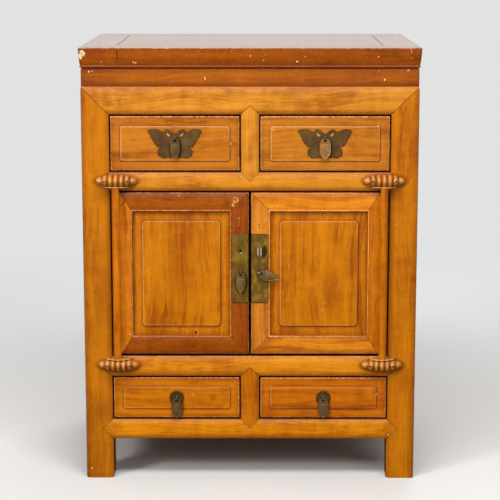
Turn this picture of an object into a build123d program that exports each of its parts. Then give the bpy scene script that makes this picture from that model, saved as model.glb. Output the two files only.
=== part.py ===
from build123d import *
import os
from math import cos, pi, sin

# A kang cabinet: mitred top frame, waist, four square posts tenoned to rails on all four
# sides, two drawers above a two-door cupboard, two drawers below. Millimetres, +Z up,
# front towards -Y, origin on the floor under the middle of the cabinet.

# ---- Driving dimensions: carcase -------------------------------------------------------
BODY_WIDTH = 620.0  # over the posts
BODY_DEPTH = 455.0  # over the posts
POST_WIDTH = 52.0  # square posts; the mitred top rails are as high as this
LEG_HEIGHT = 77.0  # floor to underside of the bottom rails
BOTTOM_RAIL_HEIGHT = 38.5
LOWER_DRAWER_OPENING = 82.5
LOWER_RAIL_HEIGHT = 39.0
CUPBOARD_OPENING = 312.0
MIDDLE_RAIL_HEIGHT = 36.0
UPPER_DRAWER_OPENING = 105.0
WAIST_HEIGHT = 31.5
SLAB_THICKNESS = 38.5
RAIL_DEPTH = 34.0
UPPER_STILE_WIDTH = 34.0
LOWER_STILE_WIDTH = 35.0
STILE_DEPTH = 30.0
EDGE_ROUNDING = 13.0  # how far in from each edge the rounded faces of posts and rails start
EDGE_DROP = 2.6  # how far those faces fall back at the edge itself

# ---- Driving dimensions: joints of the carcase -----------------------------------------
JOINT_CLEARANCE = 0.1
FLAP_THICKNESS = 9.0  # pointed or mitred front skin of a rail end, let into the post
TENON_THICKNESS = 14.0
TENON_SETBACK = 18.0  # outer face to tenon
TENON_LENGTH = 18.0
TENON_SHOULDER = 8.0  # tenon edge to rail edge
STILE_TENON_LENGTH = 12.0
POST_TENON_WIDTH = 22.0
POST_TENON_DEPTH = 20.0  # into the top frame

# ---- Driving dimensions: top, waist, panels, boards ------------------------------------
SLAB_OVERHANG = 2.0
TOP_MEMBER_WIDTH = 65.0
FASCIA_HEIGHT = 32.0
FASCIA_TAPER = 3.0
BEAD_RADIUS = 2.0
SLAB_UNDERCUT = 5.0  # underside set in from the fascia's foot
TOP_PANEL_THICKNESS = 16.0
TOP_PANEL_GAP = 0.5
TOP_PANEL_TONGUE = 8.0
TOP_PANEL_TONGUE_THICKNESS = 6.0
CORNER_TENON_LENGTH = 30.0
CORNER_TENON_WIDTH = 24.0
CORNER_TENON_THICKNESS = 10.0
CORNER_TENON_INSET = 9.0
BATTEN_WIDTH = 34.0
BATTEN_HEIGHT = 16.0
BATTEN_SPACING = 250.0
BATTEN_TENON = 12.0
WAIST_THICKNESS = 13.0
WAIST_RECESS = 2.0
PANEL_RECESS = 10.0
PANEL_THICKNESS = 7.6
PANEL_TONGUE = 6.0
GROOVE_CLEARANCE = 0.2
BOARD_THICKNESS = 12.0
BOARD_TONGUE = 5.0
BOARD_TONGUE_THICKNESS = 6.0
BOARD_TONGUE_DROP = 4.0
BOARD_CLEARANCE = 0.3
GUIDE_HEIGHT = 20.0
GUIDE_CLEARANCE = 0.5

# ---- Driving dimensions: drawers -------------------------------------------------------
DRAWER_SIDE_GAP = 2.3
DRAWER_EDGE_GAP = 2.5
DRAWER_RUN_CLEARANCE = 0.2  # sides over the board that they slide on
DRAWER_RECESS = 2.0
DRAWER_FRONT_THICKNESS = 20.0
DRAWER_REAR_GAP = 21.0  # drawer box to the rear rails
DRAWER_BOARD_THICKNESS = 10.0
DRAWER_SIDE_DROP = 8.0  # sides lower than the front
DRAWER_BOTTOM_THICKNESS = 6.0
DRAWER_BOTTOM_RISE = 8.0  # groove over the lower edge of the sides
DRAWER_GROOVE = 4.0
DOVETAIL_LENGTH = 12.0
DOVETAIL_FLARE = 2.0
DOVETAIL_COUNT = 2
BACK_HOUSING = 3.0
DRAWER_FIELD_MARGIN = 17.5
FIELD_RISE = 1.6
FIELD_SOFTENING = 1.2
DRAWER_FIELD_CORNER = 5.0

# ---- Driving dimensions: doors ---------------------------------------------------------
DOOR_THICKNESS = 20.0
DOOR_TOP_GAP = 2.5
DOOR_BOTTOM_GAP = 5.0
DOOR_CENTRE_GAP = 4.4
DOOR_RAIL_HEIGHT = 34.5
LOCK_STILE_WIDTH = 34.8
HANGING_STILE_WIDTH = 22.0  # seen beside the pivot post
PIVOT_SETBACK = 11.0  # pivot axis to the post's inner edge
PIVOT_PROUD = 8.0  # pivot axis in front of the posts' face
PIVOT_POST_DIAMETER = 14.5
PIVOT_PIN_DIAMETER = 10.0
PIVOT_PIN_LENGTH = 14.0
PIVOT_PIN_CLEARANCE = 0.06
PIVOT_END_CLEARANCE = 0.3
DOOR_EDGE_ROUNDING = 10.0
DOOR_EDGE_DROP = 1.2
DOOR_TENON_THICKNESS = 6.0
DOOR_TENON_WIDTH = 16.0
DOOR_TENON_INSET = 6.0
DOOR_PANEL_RECESS = 6.0
DOOR_PANEL_THICKNESS = 8.0
DOOR_PANEL_TONGUE = 6.0
DOOR_FIELD_MARGIN_X = 17.5
DOOR_FIELD_MARGIN_Z = 18.0
DOOR_FIELD_RISE = 3.0
DOOR_FIELD_CORNER = 8.0

# ---- Driving dimensions: pivot blocks --------------------------------------------------
BLOCK_LENGTH = 79.0
BLOCK_HEIGHT = 25.0
BLOCK_PROUD = 19.0
BLOCK_LIP_LENGTH = 46.0
BLOCK_OFFSET = 12.0  # block centre to the post's inner edge
UPPER_BLOCK_FOOT = 8.0  # underside over the cupboard opening's head
LOWER_BLOCK_HEAD = 3.0  # top face under the cupboard opening's foot
PEG_DIAMETER = 3.6
PEG_SPACING = 42.0
PEG_EMBEDMENT = 14.0

# ---- Driving dimensions: brass ---------------------------------------------------------
PLATE_THICKNESS = 1.4
DOOR_PLATE_WIDTH = 31.5
DOOR_PLATE_HEIGHT = 130.0
DOOR_PLATE_FOOT = 103.0  # above the cupboard opening's foot
DOOR_PLATE_EDGE = 0.2  # plate edge to the lock stile's meeting edge
DOOR_EYE_HEIGHT = 57.0  # above the plate's lower end
DOOR_EYE_EDGE = 15.3  # from the meeting edge
STAPLE_HEIGHT_ON_PLATE = 98.0
STAPLE_WIDTH = 8.6
STAPLE_HEIGHT = 17.0
STAPLE_PROUD = 12.0
STAPLE_THICKNESS = 1.8
BUTTERFLY_WIDTH = 99.6
BUTTERFLY_HEIGHT = 54.0
BUTTERFLY_TOP = 23.0  # plate's top under the drawer front's top edge
BUTTERFLY_EYE = 17.4  # eye under the plate's top
ROSETTE_RADIUS = 13.5
ROSETTE_LOBES = 10
ROSETTE_LOBE_RADIUS = 3.6
EYE_RADIUS = 3.2
EYE_WIRE = 0.95
EYE_STANDOFF = 0.5  # eye clear of its plate
PIN_RADIUS = 1.5
PIN_CLEARANCE = 0.05
CLINCH_LENGTH = 12.0
CLINCH_WIDTH = 3.0
CLINCH_THICKNESS = 1.2
CLINCH_CLEARANCE = 0.3
PULL_THICKNESS = 1.8
PULL_WIDTH = 20.4
PULL_LENGTH = 37.0  # bar to tip
PULL_SHOULDER_WIDTH = 10.0
PULL_SHOULDER_DROP = 13.0  # bar to the widest place
PULL_SHOULDER_BULGE = 1.2
PULL_BAR_RADIUS = 1.0
PULL_BAR_CLEARANCE = 0.05
PULL_WINDOW_WIDTH = 5.0
PULL_WINDOW_DROP = 4.6
RIGHT_PULL_TURN = 75.0  # degrees that the right-hand door pull is left turned sideways

# ---- Levels and planes worked out from them --------------------------------------------
TOP_RAIL_HEIGHT = POST_WIDTH
BOTTOM_RAIL_Z = LEG_HEIGHT
LOWER_OPENING_Z = BOTTOM_RAIL_Z + BOTTOM_RAIL_HEIGHT
LOWER_RAIL_Z = LOWER_OPENING_Z + LOWER_DRAWER_OPENING
CUPBOARD_Z = LOWER_RAIL_Z + LOWER_RAIL_HEIGHT
MIDDLE_RAIL_Z = CUPBOARD_Z + CUPBOARD_OPENING
UPPER_OPENING_Z = MIDDLE_RAIL_Z + MIDDLE_RAIL_HEIGHT
TOP_RAIL_Z = UPPER_OPENING_Z + UPPER_DRAWER_OPENING
WAIST_Z = TOP_RAIL_Z + TOP_RAIL_HEIGHT
SLAB_Z = WAIST_Z + WAIST_HEIGHT
TOP_Z = SLAB_Z + SLAB_THICKNESS

DRAWER_DEPTH = BODY_DEPTH - RAIL_DEPTH - DRAWER_REAR_GAP  # posts' face to the box's back
HALF_WIDTH = BODY_WIDTH / 2
HALF_DEPTH = BODY_DEPTH / 2
OPENING_HALF = HALF_WIDTH - POST_WIDTH
SIDE_OPENING_HALF = HALF_DEPTH - POST_WIDTH
# The pivot blocks stand furthest forward and the slab furthest back, and the origin is
# midway between them.
FRONT_Y = (BLOCK_PROUD - BODY_DEPTH - SLAB_OVERHANG) / 2
MIDDLE_Y = FRONT_Y + HALF_DEPTH

FRONT_FACE = Location((0, FRONT_Y, 0))
REAR_FACE = Location((0, FRONT_Y + BODY_DEPTH, 0), (0, 0, 180))
RIGHT_FACE = Location((HALF_WIDTH, MIDDLE_Y, 0), (0, 0, 90))
LEFT_FACE = Location((-HALF_WIDTH, MIDDLE_Y, 0), (0, 0, -90))

RAILS = {
    "bottom": (BOTTOM_RAIL_Z, BOTTOM_RAIL_HEIGHT),
    "lower": (LOWER_RAIL_Z, LOWER_RAIL_HEIGHT),
    "middle": (MIDDLE_RAIL_Z, MIDDLE_RAIL_HEIGHT),
    "top": (TOP_RAIL_Z, TOP_RAIL_HEIGHT),
}
OPENINGS = {
    "lower": (LOWER_OPENING_Z, LOWER_DRAWER_OPENING),
    "cupboard": (CUPBOARD_Z, CUPBOARD_OPENING),
    "upper": (UPPER_OPENING_Z, UPPER_DRAWER_OPENING),
}
SIDES = {"left": -1, "right": 1}
PAST = 1.0  # how far a cutting shape runs past what it cuts


# ---- Shapes used throughout -------------------------------------------------------------
# Face coordinates: x along the face, y inwards from the posts' face, z up from the floor.
def block(x0, x1, y0, y1, z0, z1):
    """Box between two limits on each axis."""
    size = Box(abs(x1 - x0), abs(y1 - y0), abs(z1 - z0))
    return Pos((x0 + x1) / 2, (y0 + y1) / 2, (z0 + z1) / 2) * size


def prism_x(points, x0, x1):
    """Outline in (y, z), run from x0 to x1."""
    plane = Plane((x0, 0, 0), x_dir=(0, 1, 0), z_dir=(1, 0, 0))
    return extrude(plane * make_face(Polyline(points, close=True)), amount=x1 - x0)


def prism_y(points, y0, y1):
    """Outline in (x, z), run from y0 to y1."""
    plane = Plane((0, y1, 0), x_dir=(1, 0, 0), z_dir=(0, -1, 0))
    return extrude(plane * make_face(Polyline(points, close=True)), amount=y1 - y0)


def prism_z(points, z0, z1):
    """Outline in (x, y), run from z0 to z1."""
    plane = Plane((0, 0, z0), x_dir=(1, 0, 0), z_dir=(0, 0, 1))
    return extrude(plane * make_face(Polyline(points, close=True)), amount=z1 - z0)


def cylinder_y(x, z, radius, y0, y1):
    """Round rod from y0 to y1."""
    return Pos(x, (y0 + y1) / 2, z) * Rot(90, 0, 0) * Cylinder(radius, y1 - y0)


def rounded_section(width, depth, rounding, drop):
    """Section of a member: x across the width, y inwards, outer face rounded at its edges."""
    outline = Curve() + [
        Line((width, drop), (width, depth)),
        Line((width, depth), (0, depth)),
        Line((0, depth), (0, drop)),
        TangentArc((rounding, 0), (0, drop), tangent=(-1, 0)),
        Line((rounding, 0), (width - rounding, 0)),
        TangentArc((width - rounding, 0), (width, drop), tangent=(1, 0)),
    ]
    return make_face(outline)


def upright(x0, width, depth, z0, z1, rounding, drop):
    """Vertical member with a rounded outer face."""
    section = rounded_section(width, depth, rounding, drop)
    return extrude(Pos(x0, 0, z0) * section, amount=z1 - z0)


def crosspiece(x0, x1, z0, height, depth, rounding, drop):
    """Horizontal member with a rounded outer face."""
    section = Rot(0, -90, 0) * rounded_section(height, depth, rounding, drop)
    return extrude(Pos((x0 + x1) / 2, 0, z0) * section, amount=(x1 - x0) / 2, both=True)


def raised_field(x0, x1, z0, z1, y, rise, corner):
    """Raised field with round corners and a softened edge, its back on plane y."""
    plane = Plane(((x0 + x1) / 2, y, (z0 + z1) / 2), x_dir=(1, 0, 0), z_dir=(0, -1, 0))
    field = extrude(plane * RectangleRounded(x1 - x0, z1 - z0, corner), amount=rise)
    softening = min(FIELD_SOFTENING, rise * 0.8)
    return fillet(field.faces().sort_by(Axis.Y)[0].edges(), softening)


def mirrored(shape):
    """The same piece on the other side of the cabinet."""
    return mirror(shape, about=Plane.YZ)


# ---- Rail and post joints ---------------------------------------------------------------
def pointed_flap(half, z0, height, grow=0.0):
    """Right-hand pointed end of a rail, let into the face of the post."""
    middle = z0 + height / 2
    points = [
        (half - PAST, z0 - grow),
        (half, z0 - grow),
        (half + height / 2 + grow, middle),
        (half, z0 + height + grow),
        (half - PAST, z0 + height + grow),
    ]
    return prism_y(points, -PAST, FLAP_THICKNESS + grow)


def mitred_flap(half, grow=0.0):
    """Right-hand end of a top rail: mitred to the post in front and to its neighbour above."""
    points = [
        (half - PAST, TOP_RAIL_Z - PAST - grow),
        (half + POST_WIDTH + PAST, WAIST_Z + PAST - grow),
        (half + POST_WIDTH + PAST, WAIST_Z + 2 * PAST),
        (half - PAST, WAIST_Z + 2 * PAST),
    ]
    flap = prism_y(points, -PAST, FLAP_THICKNESS + grow)
    in_front_of_corner = [
        (half - PAST, -PAST),
        (half + POST_WIDTH + PAST, -PAST),
        (half - PAST, POST_WIDTH + PAST),
    ]
    return flap & prism_z(in_front_of_corner, TOP_RAIL_Z - PAST, WAIST_Z + PAST)


def post_section():
    """Post from inner edge to outer edge, with its front and outer faces rounded."""
    front = rounded_section(POST_WIDTH, POST_WIDTH, EDGE_ROUNDING, EDGE_DROP)
    side = Pos(POST_WIDTH, 0) * Rot(0, 0, 90) * front
    return front & side


def rail_tenon(half, z0, height, grow=0.0):
    """Right-hand tenon of a rail."""
    return block(
        half - PAST,
        half + TENON_LENGTH + grow,
        TENON_SETBACK - grow,
        TENON_SETBACK + TENON_THICKNESS + grow,
        z0 + TENON_SHOULDER - grow,
        z0 + height - TENON_SHOULDER + grow,
    )


def rail(half, z0, height, grooved=True):
    """Rail in face coordinates, with its flaps, tenons and panel grooves."""
    is_top = z0 == TOP_RAIL_Z
    full = crosspiece(
        -half - POST_WIDTH, half + POST_WIDTH, z0, height, RAIL_DEPTH, EDGE_ROUNDING, EDGE_DROP
    )
    shape = full & block(-half, half, -PAST, RAIL_DEPTH, z0, z0 + height)
    if is_top:
        column = extrude(Pos(half, 0, z0) * post_section(), amount=height)
        column = column + block(half, half + EDGE_ROUNDING, 0, POST_WIDTH, z0, z0 + height)
        flap = full & mitred_flap(half) & column
    else:
        flap = full & pointed_flap(half, z0, height) & block(
            half, half + height, -PAST, RAIL_DEPTH, z0, z0 + height
        )
    end = flap + (rail_tenon(half, z0, height) & block(
        half, half + POST_WIDTH, 0, RAIL_DEPTH, z0, z0 + height
    ))
    shape = shape + end + mirrored(end)
    for level in OPENINGS if grooved else ():
        shape = shape - panel_groove(half, level)
    return shape


def panel(half, level):
    """Thin panel in face coordinates, its edges in the grooves of posts and rails."""
    z0, height = OPENINGS[level]
    reach = half + PANEL_TONGUE
    back = PANEL_RECESS + PANEL_THICKNESS
    return block(
        -reach, reach, PANEL_RECESS, back, z0 - PANEL_TONGUE, z0 + height + PANEL_TONGUE
    )


def panel_groove(half, level):
    """Groove that holds the panel, a little wider and deeper than the panel."""
    z0, height = OPENINGS[level]
    reach = PANEL_TONGUE + 2 * GROOVE_CLEARANCE
    return block(
        -half - reach,
        half + reach,
        PANEL_RECESS - GROOVE_CLEARANCE,
        PANEL_RECESS + PANEL_THICKNESS + GROOVE_CLEARANCE,
        z0 - reach,
        z0 + height + reach,
    )


def post_tenon(grow=0.0):
    """Tenon on top of the front right post, through the waist into the top frame."""
    x1 = HALF_WIDTH - TENON_SETBACK + grow
    y0 = TENON_SETBACK - grow
    side = POST_TENON_WIDTH + 2 * grow
    z1 = SLAB_Z + POST_TENON_DEPTH + grow
    return FRONT_FACE * block(x1 - side, x1, y0, y0 + side, WAIST_Z, z1)


def post():
    """Front right post with every mortise, flap housing and groove."""
    column = extrude(Pos(OPENING_HALF, 0, 0) * post_section(), amount=WAIST_Z)
    shape = (FRONT_FACE * column) + post_tenon()
    for face, half in ((FRONT_FACE, OPENING_HALF), (RIGHT_FACE, SIDE_OPENING_HALF)):
        cuts = [mitred_flap(half, JOINT_CLEARANCE)]
        for z0, height in RAILS.values():
            cuts.append(rail_tenon(half, z0, height, JOINT_CLEARANCE))
            if z0 != TOP_RAIL_Z:
                cuts.append(pointed_flap(half, z0, height, JOINT_CLEARANCE))
        if face is RIGHT_FACE:
            cuts = [mirrored(cut) for cut in cuts]
            cuts += [panel_groove(half, level) for level in OPENINGS]
        for cut in cuts:
            shape = shape - face * cut
    return shape


def mirrored_in_depth(shape):
    """The same piece at the back of the cabinet."""
    return mirror(shape, about=Plane((0, MIDDLE_Y, 0), x_dir=(1, 0, 0), z_dir=(0, 1, 0)))


# ---- Pivot blocks -----------------------------------------------------------------------
PIVOT_X = OPENING_HALF - PIVOT_SETBACK
UPPER_BLOCK_Z = MIDDLE_RAIL_Z + UPPER_BLOCK_FOOT
LOWER_BLOCK_Z = CUPBOARD_Z - LOWER_BLOCK_HEAD
BLOCK_X = OPENING_HALF - BLOCK_OFFSET
PEG_PLACES = [BLOCK_X - PEG_SPACING / 2, BLOCK_X + PEG_SPACING / 2]


def pivot_block(face_z, upwards):
    """Knuckle block: lens-shaped from the front and from above, bored for the pivot pin."""
    half = BLOCK_LENGTH / 2
    lip = BLOCK_LIP_LENGTH / 2
    far = face_z + upwards * BLOCK_HEIGHT
    tip = (face_z + far) / 2
    front = Curve() + [
        Line((-lip, face_z), (lip, face_z)),
        Line((lip, face_z), (half, tip)),
        ThreePointArc((half, tip), (0, far), (-half, tip)),
        Line((-half, tip), (-lip, face_z)),
    ]
    front_plane = Plane((BLOCK_X, EDGE_DROP, 0), x_dir=(1, 0, 0), z_dir=(0, -1, 0))
    outline = extrude(front_plane * make_face(front), amount=BLOCK_PROUD + EDGE_DROP)
    plan = Curve() + [
        Line((-half, EDGE_DROP), (half, EDGE_DROP)),
        Line((half, EDGE_DROP), (half, -EDGE_DROP)),
        ThreePointArc((half, -EDGE_DROP), (0, -BLOCK_PROUD), (-half, -EDGE_DROP)),
        Line((-half, -EDGE_DROP), (-half, EDGE_DROP)),
    ]
    low = min(face_z, far)
    depth = extrude(Pos(BLOCK_X, 0, low) * make_face(plan), amount=BLOCK_HEIGHT)
    radius = PIVOT_PIN_DIAMETER / 2 + PIVOT_PIN_CLEARANCE
    bore_length = PIVOT_PIN_LENGTH + PIVOT_END_CLEARANCE
    bore = Cylinder(radius, bore_length)
    shape = outline & depth
    shape = shape - Pos(PIVOT_X, -PIVOT_PROUD, face_z + upwards * bore_length / 2) * bore
    for x in PEG_PLACES:
        shape = shape - peg(x, tip, JOINT_CLEARANCE)
    return FRONT_FACE * shape


def peg(x, z, grow=0.0):
    """Wooden peg through a pivot block into the rail or post behind it."""
    return cylinder_y(x, z, PEG_DIAMETER / 2 + grow, -peg_reach(x), PEG_EMBEDMENT + grow)


def peg_reach(x):
    """How far the block's front stands proud at x: the arc through its ends and its crown."""
    half = BLOCK_LENGTH / 2
    rise = BLOCK_PROUD - EDGE_DROP
    radius = (half**2 + rise**2) / (2 * rise)
    return (radius**2 - (x - BLOCK_X) ** 2) ** 0.5 - radius + BLOCK_PROUD


# ---- Top, waist, boards, guides ---------------------------------------------------------
def top_member(long_half, short_half, is_long):
    """One member of the mitred top frame in face coordinates, y=0 on the posts' face."""
    y_out = -SLAB_OVERHANG
    foot = TOP_Z - FASCIA_HEIGHT
    low = foot - 2 * BEAD_RADIUS
    inner = y_out + TOP_MEMBER_WIDTH
    outline = Curve() + [
        Line((inner, SLAB_Z), (inner, TOP_Z)),
        Line((inner, TOP_Z), (y_out, TOP_Z)),
        ThreePointArc(
            (y_out, TOP_Z),
            (y_out + FASCIA_TAPER / 4, (TOP_Z + foot) / 2),
            (y_out + FASCIA_TAPER, foot),
        ),
        ThreePointArc(
            (y_out + FASCIA_TAPER, foot),
            (y_out + FASCIA_TAPER - BEAD_RADIUS / 2, (foot + low) / 2),
            (y_out + FASCIA_TAPER, low),
        ),
        Line((y_out + FASCIA_TAPER, low), (y_out + SLAB_UNDERCUT, low)),
        Line((y_out + SLAB_UNDERCUT, low), (y_out + SLAB_UNDERCUT, SLAB_Z)),
        Line((y_out + SLAB_UNDERCUT, SLAB_Z), (inner, SLAB_Z)),
    ]
    half = long_half + SLAB_OVERHANG
    section = Plane((-half, 0, 0), x_dir=(0, 1, 0), z_dir=(1, 0, 0)) * make_face(outline)
    bar = extrude(section, amount=2 * half)
    mitre = [
        (-half - BEAD_RADIUS, y_out - BEAD_RADIUS),
        (half + BEAD_RADIUS, y_out - BEAD_RADIUS),
        (half - TOP_MEMBER_WIDTH, inner),
        (-half + TOP_MEMBER_WIDTH, inner),
    ]
    bar = bar & prism_z(mitre, SLAB_Z, TOP_Z)
    bar = bar - top_panel_groove(half, short_half + SLAB_OVERHANG)
    for side in (-1, 1):
        if is_long:
            bar = bar - corner_tenon(side, half, y_out, JOINT_CLEARANCE)
        else:
            bar = bar + corner_tenon_from_side(side, half, y_out)
    return bar


def corner_tenon(side, half, y_out, grow=0.0):
    """Hidden tenon across a corner of the top frame, in a long member's face coordinates."""
    x1 = half - CORNER_TENON_INSET
    x0 = x1 - CORNER_TENON_WIDTH
    y1 = y_out + TOP_MEMBER_WIDTH - CORNER_TENON_INSET
    y0 = y1 - CORNER_TENON_LENGTH
    z1 = TOP_Z - FASCIA_HEIGHT / 2 + CORNER_TENON_THICKNESS / 2
    z0 = z1 - CORNER_TENON_THICKNESS
    return block(
        side * (x0 - grow), side * (x1 + grow), y0 - grow, y1 + grow, z0 - grow, z1 + grow
    )


def corner_tenon_from_side(side, half, y_out):
    """The same tenon in a side member's face coordinates."""
    y0 = y_out + CORNER_TENON_INSET
    y1 = y0 + CORNER_TENON_WIDTH
    x1 = half - (TOP_MEMBER_WIDTH - CORNER_TENON_INSET)
    x0 = x1 + CORNER_TENON_LENGTH
    z1 = TOP_Z - FASCIA_HEIGHT / 2 + CORNER_TENON_THICKNESS / 2
    return block(side * x0, side * x1, y0, y1, z1 - CORNER_TENON_THICKNESS, z1)


def top_panel_groove(half, depth_half):
    """Groove round the top panel, in face coordinates."""
    y_out = -SLAB_OVERHANG
    reach = TOP_PANEL_TONGUE + GROOVE_CLEARANCE
    z1 = TOP_Z - TOP_PANEL_THICKNESS + TOP_PANEL_TONGUE_THICKNESS + GROOVE_CLEARANCE
    return block(
        -(half - TOP_MEMBER_WIDTH + reach),
        half - TOP_MEMBER_WIDTH + reach,
        y_out + TOP_MEMBER_WIDTH - reach,
        y_out + 2 * depth_half - TOP_MEMBER_WIDTH + reach,
        TOP_Z - TOP_PANEL_THICKNESS - GROOVE_CLEARANCE,
        z1,
    )


def top_panel():
    """Floating panel, flush with the top frame, tongued all round."""
    x = HALF_WIDTH + SLAB_OVERHANG - TOP_MEMBER_WIDTH
    y = HALF_DEPTH + SLAB_OVERHANG - TOP_MEMBER_WIDTH
    foot = TOP_Z - TOP_PANEL_THICKNESS
    gap = TOP_PANEL_GAP
    field = block(-x + gap, x - gap, -y + gap, y - gap, foot, TOP_Z)
    reach = TOP_PANEL_TONGUE
    tongue = block(
        -x - reach, x + reach, -y - reach, y + reach, foot, foot + TOP_PANEL_TONGUE_THICKNESS
    )
    return Pos(0, MIDDLE_Y, 0) * (field + tongue)


def battens(grow=0.0):
    """Two battens under the top panel, tenoned into the long members of the top frame."""
    y = HALF_DEPTH + SLAB_OVERHANG - TOP_MEMBER_WIDTH
    z1 = TOP_Z - TOP_PANEL_THICKNESS
    shapes = []
    for side in (-1, 1):
        x = side * BATTEN_SPACING / 2
        half = BATTEN_WIDTH / 2 + grow
        reach = y + BATTEN_TENON + grow
        bar = block(x - half, x + half, -reach, reach, z1 - BATTEN_HEIGHT - grow, z1 + grow)
        shapes.append(Pos(0, MIDDLE_Y, 0) * bar)
    return shapes


def waist_board(long_half):
    """One waist board in face coordinates, mitred at both ends."""
    half = long_half - WAIST_RECESS
    y0 = WAIST_RECESS
    y1 = y0 + WAIST_THICKNESS
    mitre = [(-half, y0), (half, y0), (half - WAIST_THICKNESS, y1), (WAIST_THICKNESS - half, y1)]
    return prism_z(mitre, WAIST_Z, SLAB_Z)


def interior_board(level_z):
    """Board between the rails, flush with their tops, tongued in and notched round the posts."""
    x = HALF_WIDTH - RAIL_DEPTH
    y = HALF_DEPTH - RAIL_DEPTH
    z1 = level_z
    clear = BOARD_CLEARANCE
    plate = block(-x + clear, x - clear, -y + clear, y - clear, z1 - BOARD_THICKNESS, z1)
    shape = plate + board_tongue(level_z, 0.0)
    post_in = POST_WIDTH + clear
    for side_x in (-1, 1):
        for side_y in (-1, 1):
            corner = block(
                side_x * (HALF_WIDTH - post_in),
                side_x * HALF_WIDTH,
                side_y * (HALF_DEPTH - post_in),
                side_y * HALF_DEPTH,
                z1 - BOARD_THICKNESS - PAST,
                z1 + PAST,
            )
            shape = shape - corner
    return Pos(0, MIDDLE_Y, 0) * shape


def board_tongue(level_z, grow):
    """Tongue of an interior board, about the middle of the cabinet."""
    x = HALF_WIDTH - RAIL_DEPTH + BOARD_TONGUE + grow
    y = HALF_DEPTH - RAIL_DEPTH + BOARD_TONGUE + grow
    z1 = level_z - BOARD_TONGUE_DROP
    return block(-x, x, -y, y, z1 - BOARD_TONGUE_THICKNESS - grow, z1 + grow)


def drawer_guides(level_z, stile_width):
    """Middle and side guides that keep two drawers straight."""
    y0 = RAIL_DEPTH
    y1 = BODY_DEPTH - RAIL_DEPTH
    step_in = DRAWER_SIDE_GAP - GUIDE_CLEARANCE
    z1 = level_z + GUIDE_HEIGHT
    half = stile_width / 2 + step_in
    middle = block(-half, half, y0, y1, level_z, z1)
    right = block(
        OPENING_HALF - step_in,
        HALF_WIDTH - RAIL_DEPTH,
        POST_WIDTH,
        BODY_DEPTH - POST_WIDTH,
        level_z,
        z1,
    )
    return [FRONT_FACE * shape for shape in (middle, right, mirrored(right))]


def centre_stile(level, width):
    """Short stile between two drawers, pointed into the rails above and below."""
    z0, height = OPENINGS[level]
    z1 = z0 + height
    half = width / 2
    full = upright(-half, width, STILE_DEPTH, z0 - half, z1 + half, EDGE_ROUNDING, EDGE_DROP)
    shape = full & (block(-half, half, -PAST, STILE_DEPTH, z0, z1) + stile_flaps(level, width))
    return FRONT_FACE * (shape + stile_tenons(level, width))


def stile_flaps(level, width, grow=0.0):
    """Pointed ends of a centre stile, let into the faces of the rails."""
    z0, height = OPENINGS[level]
    z1 = z0 + height
    half = width / 2 + grow
    points = [
        (-half, z0), (0, z0 - half), (half, z0), (half, z1), (0, z1 + half), (-half, z1)
    ]
    return prism_y(points, -PAST, FLAP_THICKNESS + grow)


def stile_tenons(level, width, grow=0.0):
    """Stub tenons of a centre stile."""
    z0, height = OPENINGS[level]
    half = width / 2 - TENON_SHOULDER + grow
    reach = STILE_TENON_LENGTH + grow
    y0 = FLAP_THICKNESS + JOINT_CLEARANCE - grow
    return block(-half, half, y0, y0 + TENON_THICKNESS + 2 * grow, z0 - reach, z0 + height + reach)


# ---- Brass: plates, split pins, pulls ---------------------------------------------------
def pull_outline():
    """Leaf-shaped pull hanging from its bar at the origin."""
    shoulder = PULL_SHOULDER_WIDTH / 2
    half = PULL_WIDTH / 2
    top = PULL_BAR_RADIUS
    low = -(PULL_SHOULDER_DROP + PULL_LENGTH) / 2
    right = Curve() + [
        Line((0, top), (shoulder, top)),
        ThreePointArc(
            (shoulder, top),
            ((shoulder + half) / 2 + PULL_SHOULDER_BULGE, -PULL_SHOULDER_DROP / 3),
            (half, -PULL_SHOULDER_DROP),
        ),
        ThreePointArc((half, -PULL_SHOULDER_DROP), (half * 0.71, low), (0, -PULL_LENGTH)),
        Line((0, -PULL_LENGTH), (0, top)),
    ]
    return make_face(right)


def pull(turn=0.0):
    """Leaf pull with a window under its bar, about the eye's centre on the wood's face."""
    bar_z = -(EYE_RADIUS - EYE_WIRE - PULL_BAR_RADIUS - PULL_BAR_CLEARANCE)
    eye_y = eye_plane()
    plane = Plane((0, eye_y + PULL_THICKNESS / 2, 0), x_dir=(1, 0, 0), z_dir=(0, -1, 0))
    right = extrude(plane * pull_outline(), amount=PULL_THICKNESS)
    leaf = right + mirrored(right)
    window = PULL_WINDOW_WIDTH / 2
    cut = block(-window, window, eye_y - 2 * PAST, eye_y + 2 * PAST, -PULL_WINDOW_DROP, PAST * 2)
    rod = Pos(0, eye_y, 0) * Rot(0, 90, 0) * Cylinder(PULL_BAR_RADIUS, PULL_SHOULDER_WIDTH)
    return Rot(0, -turn, 0) * Pos(0, 0, bar_z) * (leaf - cut + rod)


def eye_plane():
    """How far in front of the wood the middle of an eye stands, as a y coordinate."""
    return -(PLATE_THICKNESS + EYE_STANDOFF + EYE_RADIUS + EYE_WIRE)


def pin(wood_thickness, turn=0.0):
    """Split pin: eye in front, shank through plate and wood, ends clinched behind."""
    eye = Pos(0, eye_plane(), 0) * Rot(0, 90, 0) * Torus(EYE_RADIUS, EYE_WIRE)
    back = wood_thickness + CLINCH_CLEARANCE
    shank = cylinder_y(0, 0, PIN_RADIUS, eye_plane() + EYE_RADIUS, back)
    clinch = block(
        -CLINCH_WIDTH / 2,
        CLINCH_WIDTH / 2,
        back,
        back + CLINCH_THICKNESS,
        -CLINCH_LENGTH / 2,
        CLINCH_LENGTH / 2,
    )
    return Rot(0, -turn, 0) * (eye + shank + clinch)


def pin_hole(x, z, y0, y1):
    """Clear hole for a split pin."""
    return cylinder_y(x, z, PIN_RADIUS + PIN_CLEARANCE, y0, y1)


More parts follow.
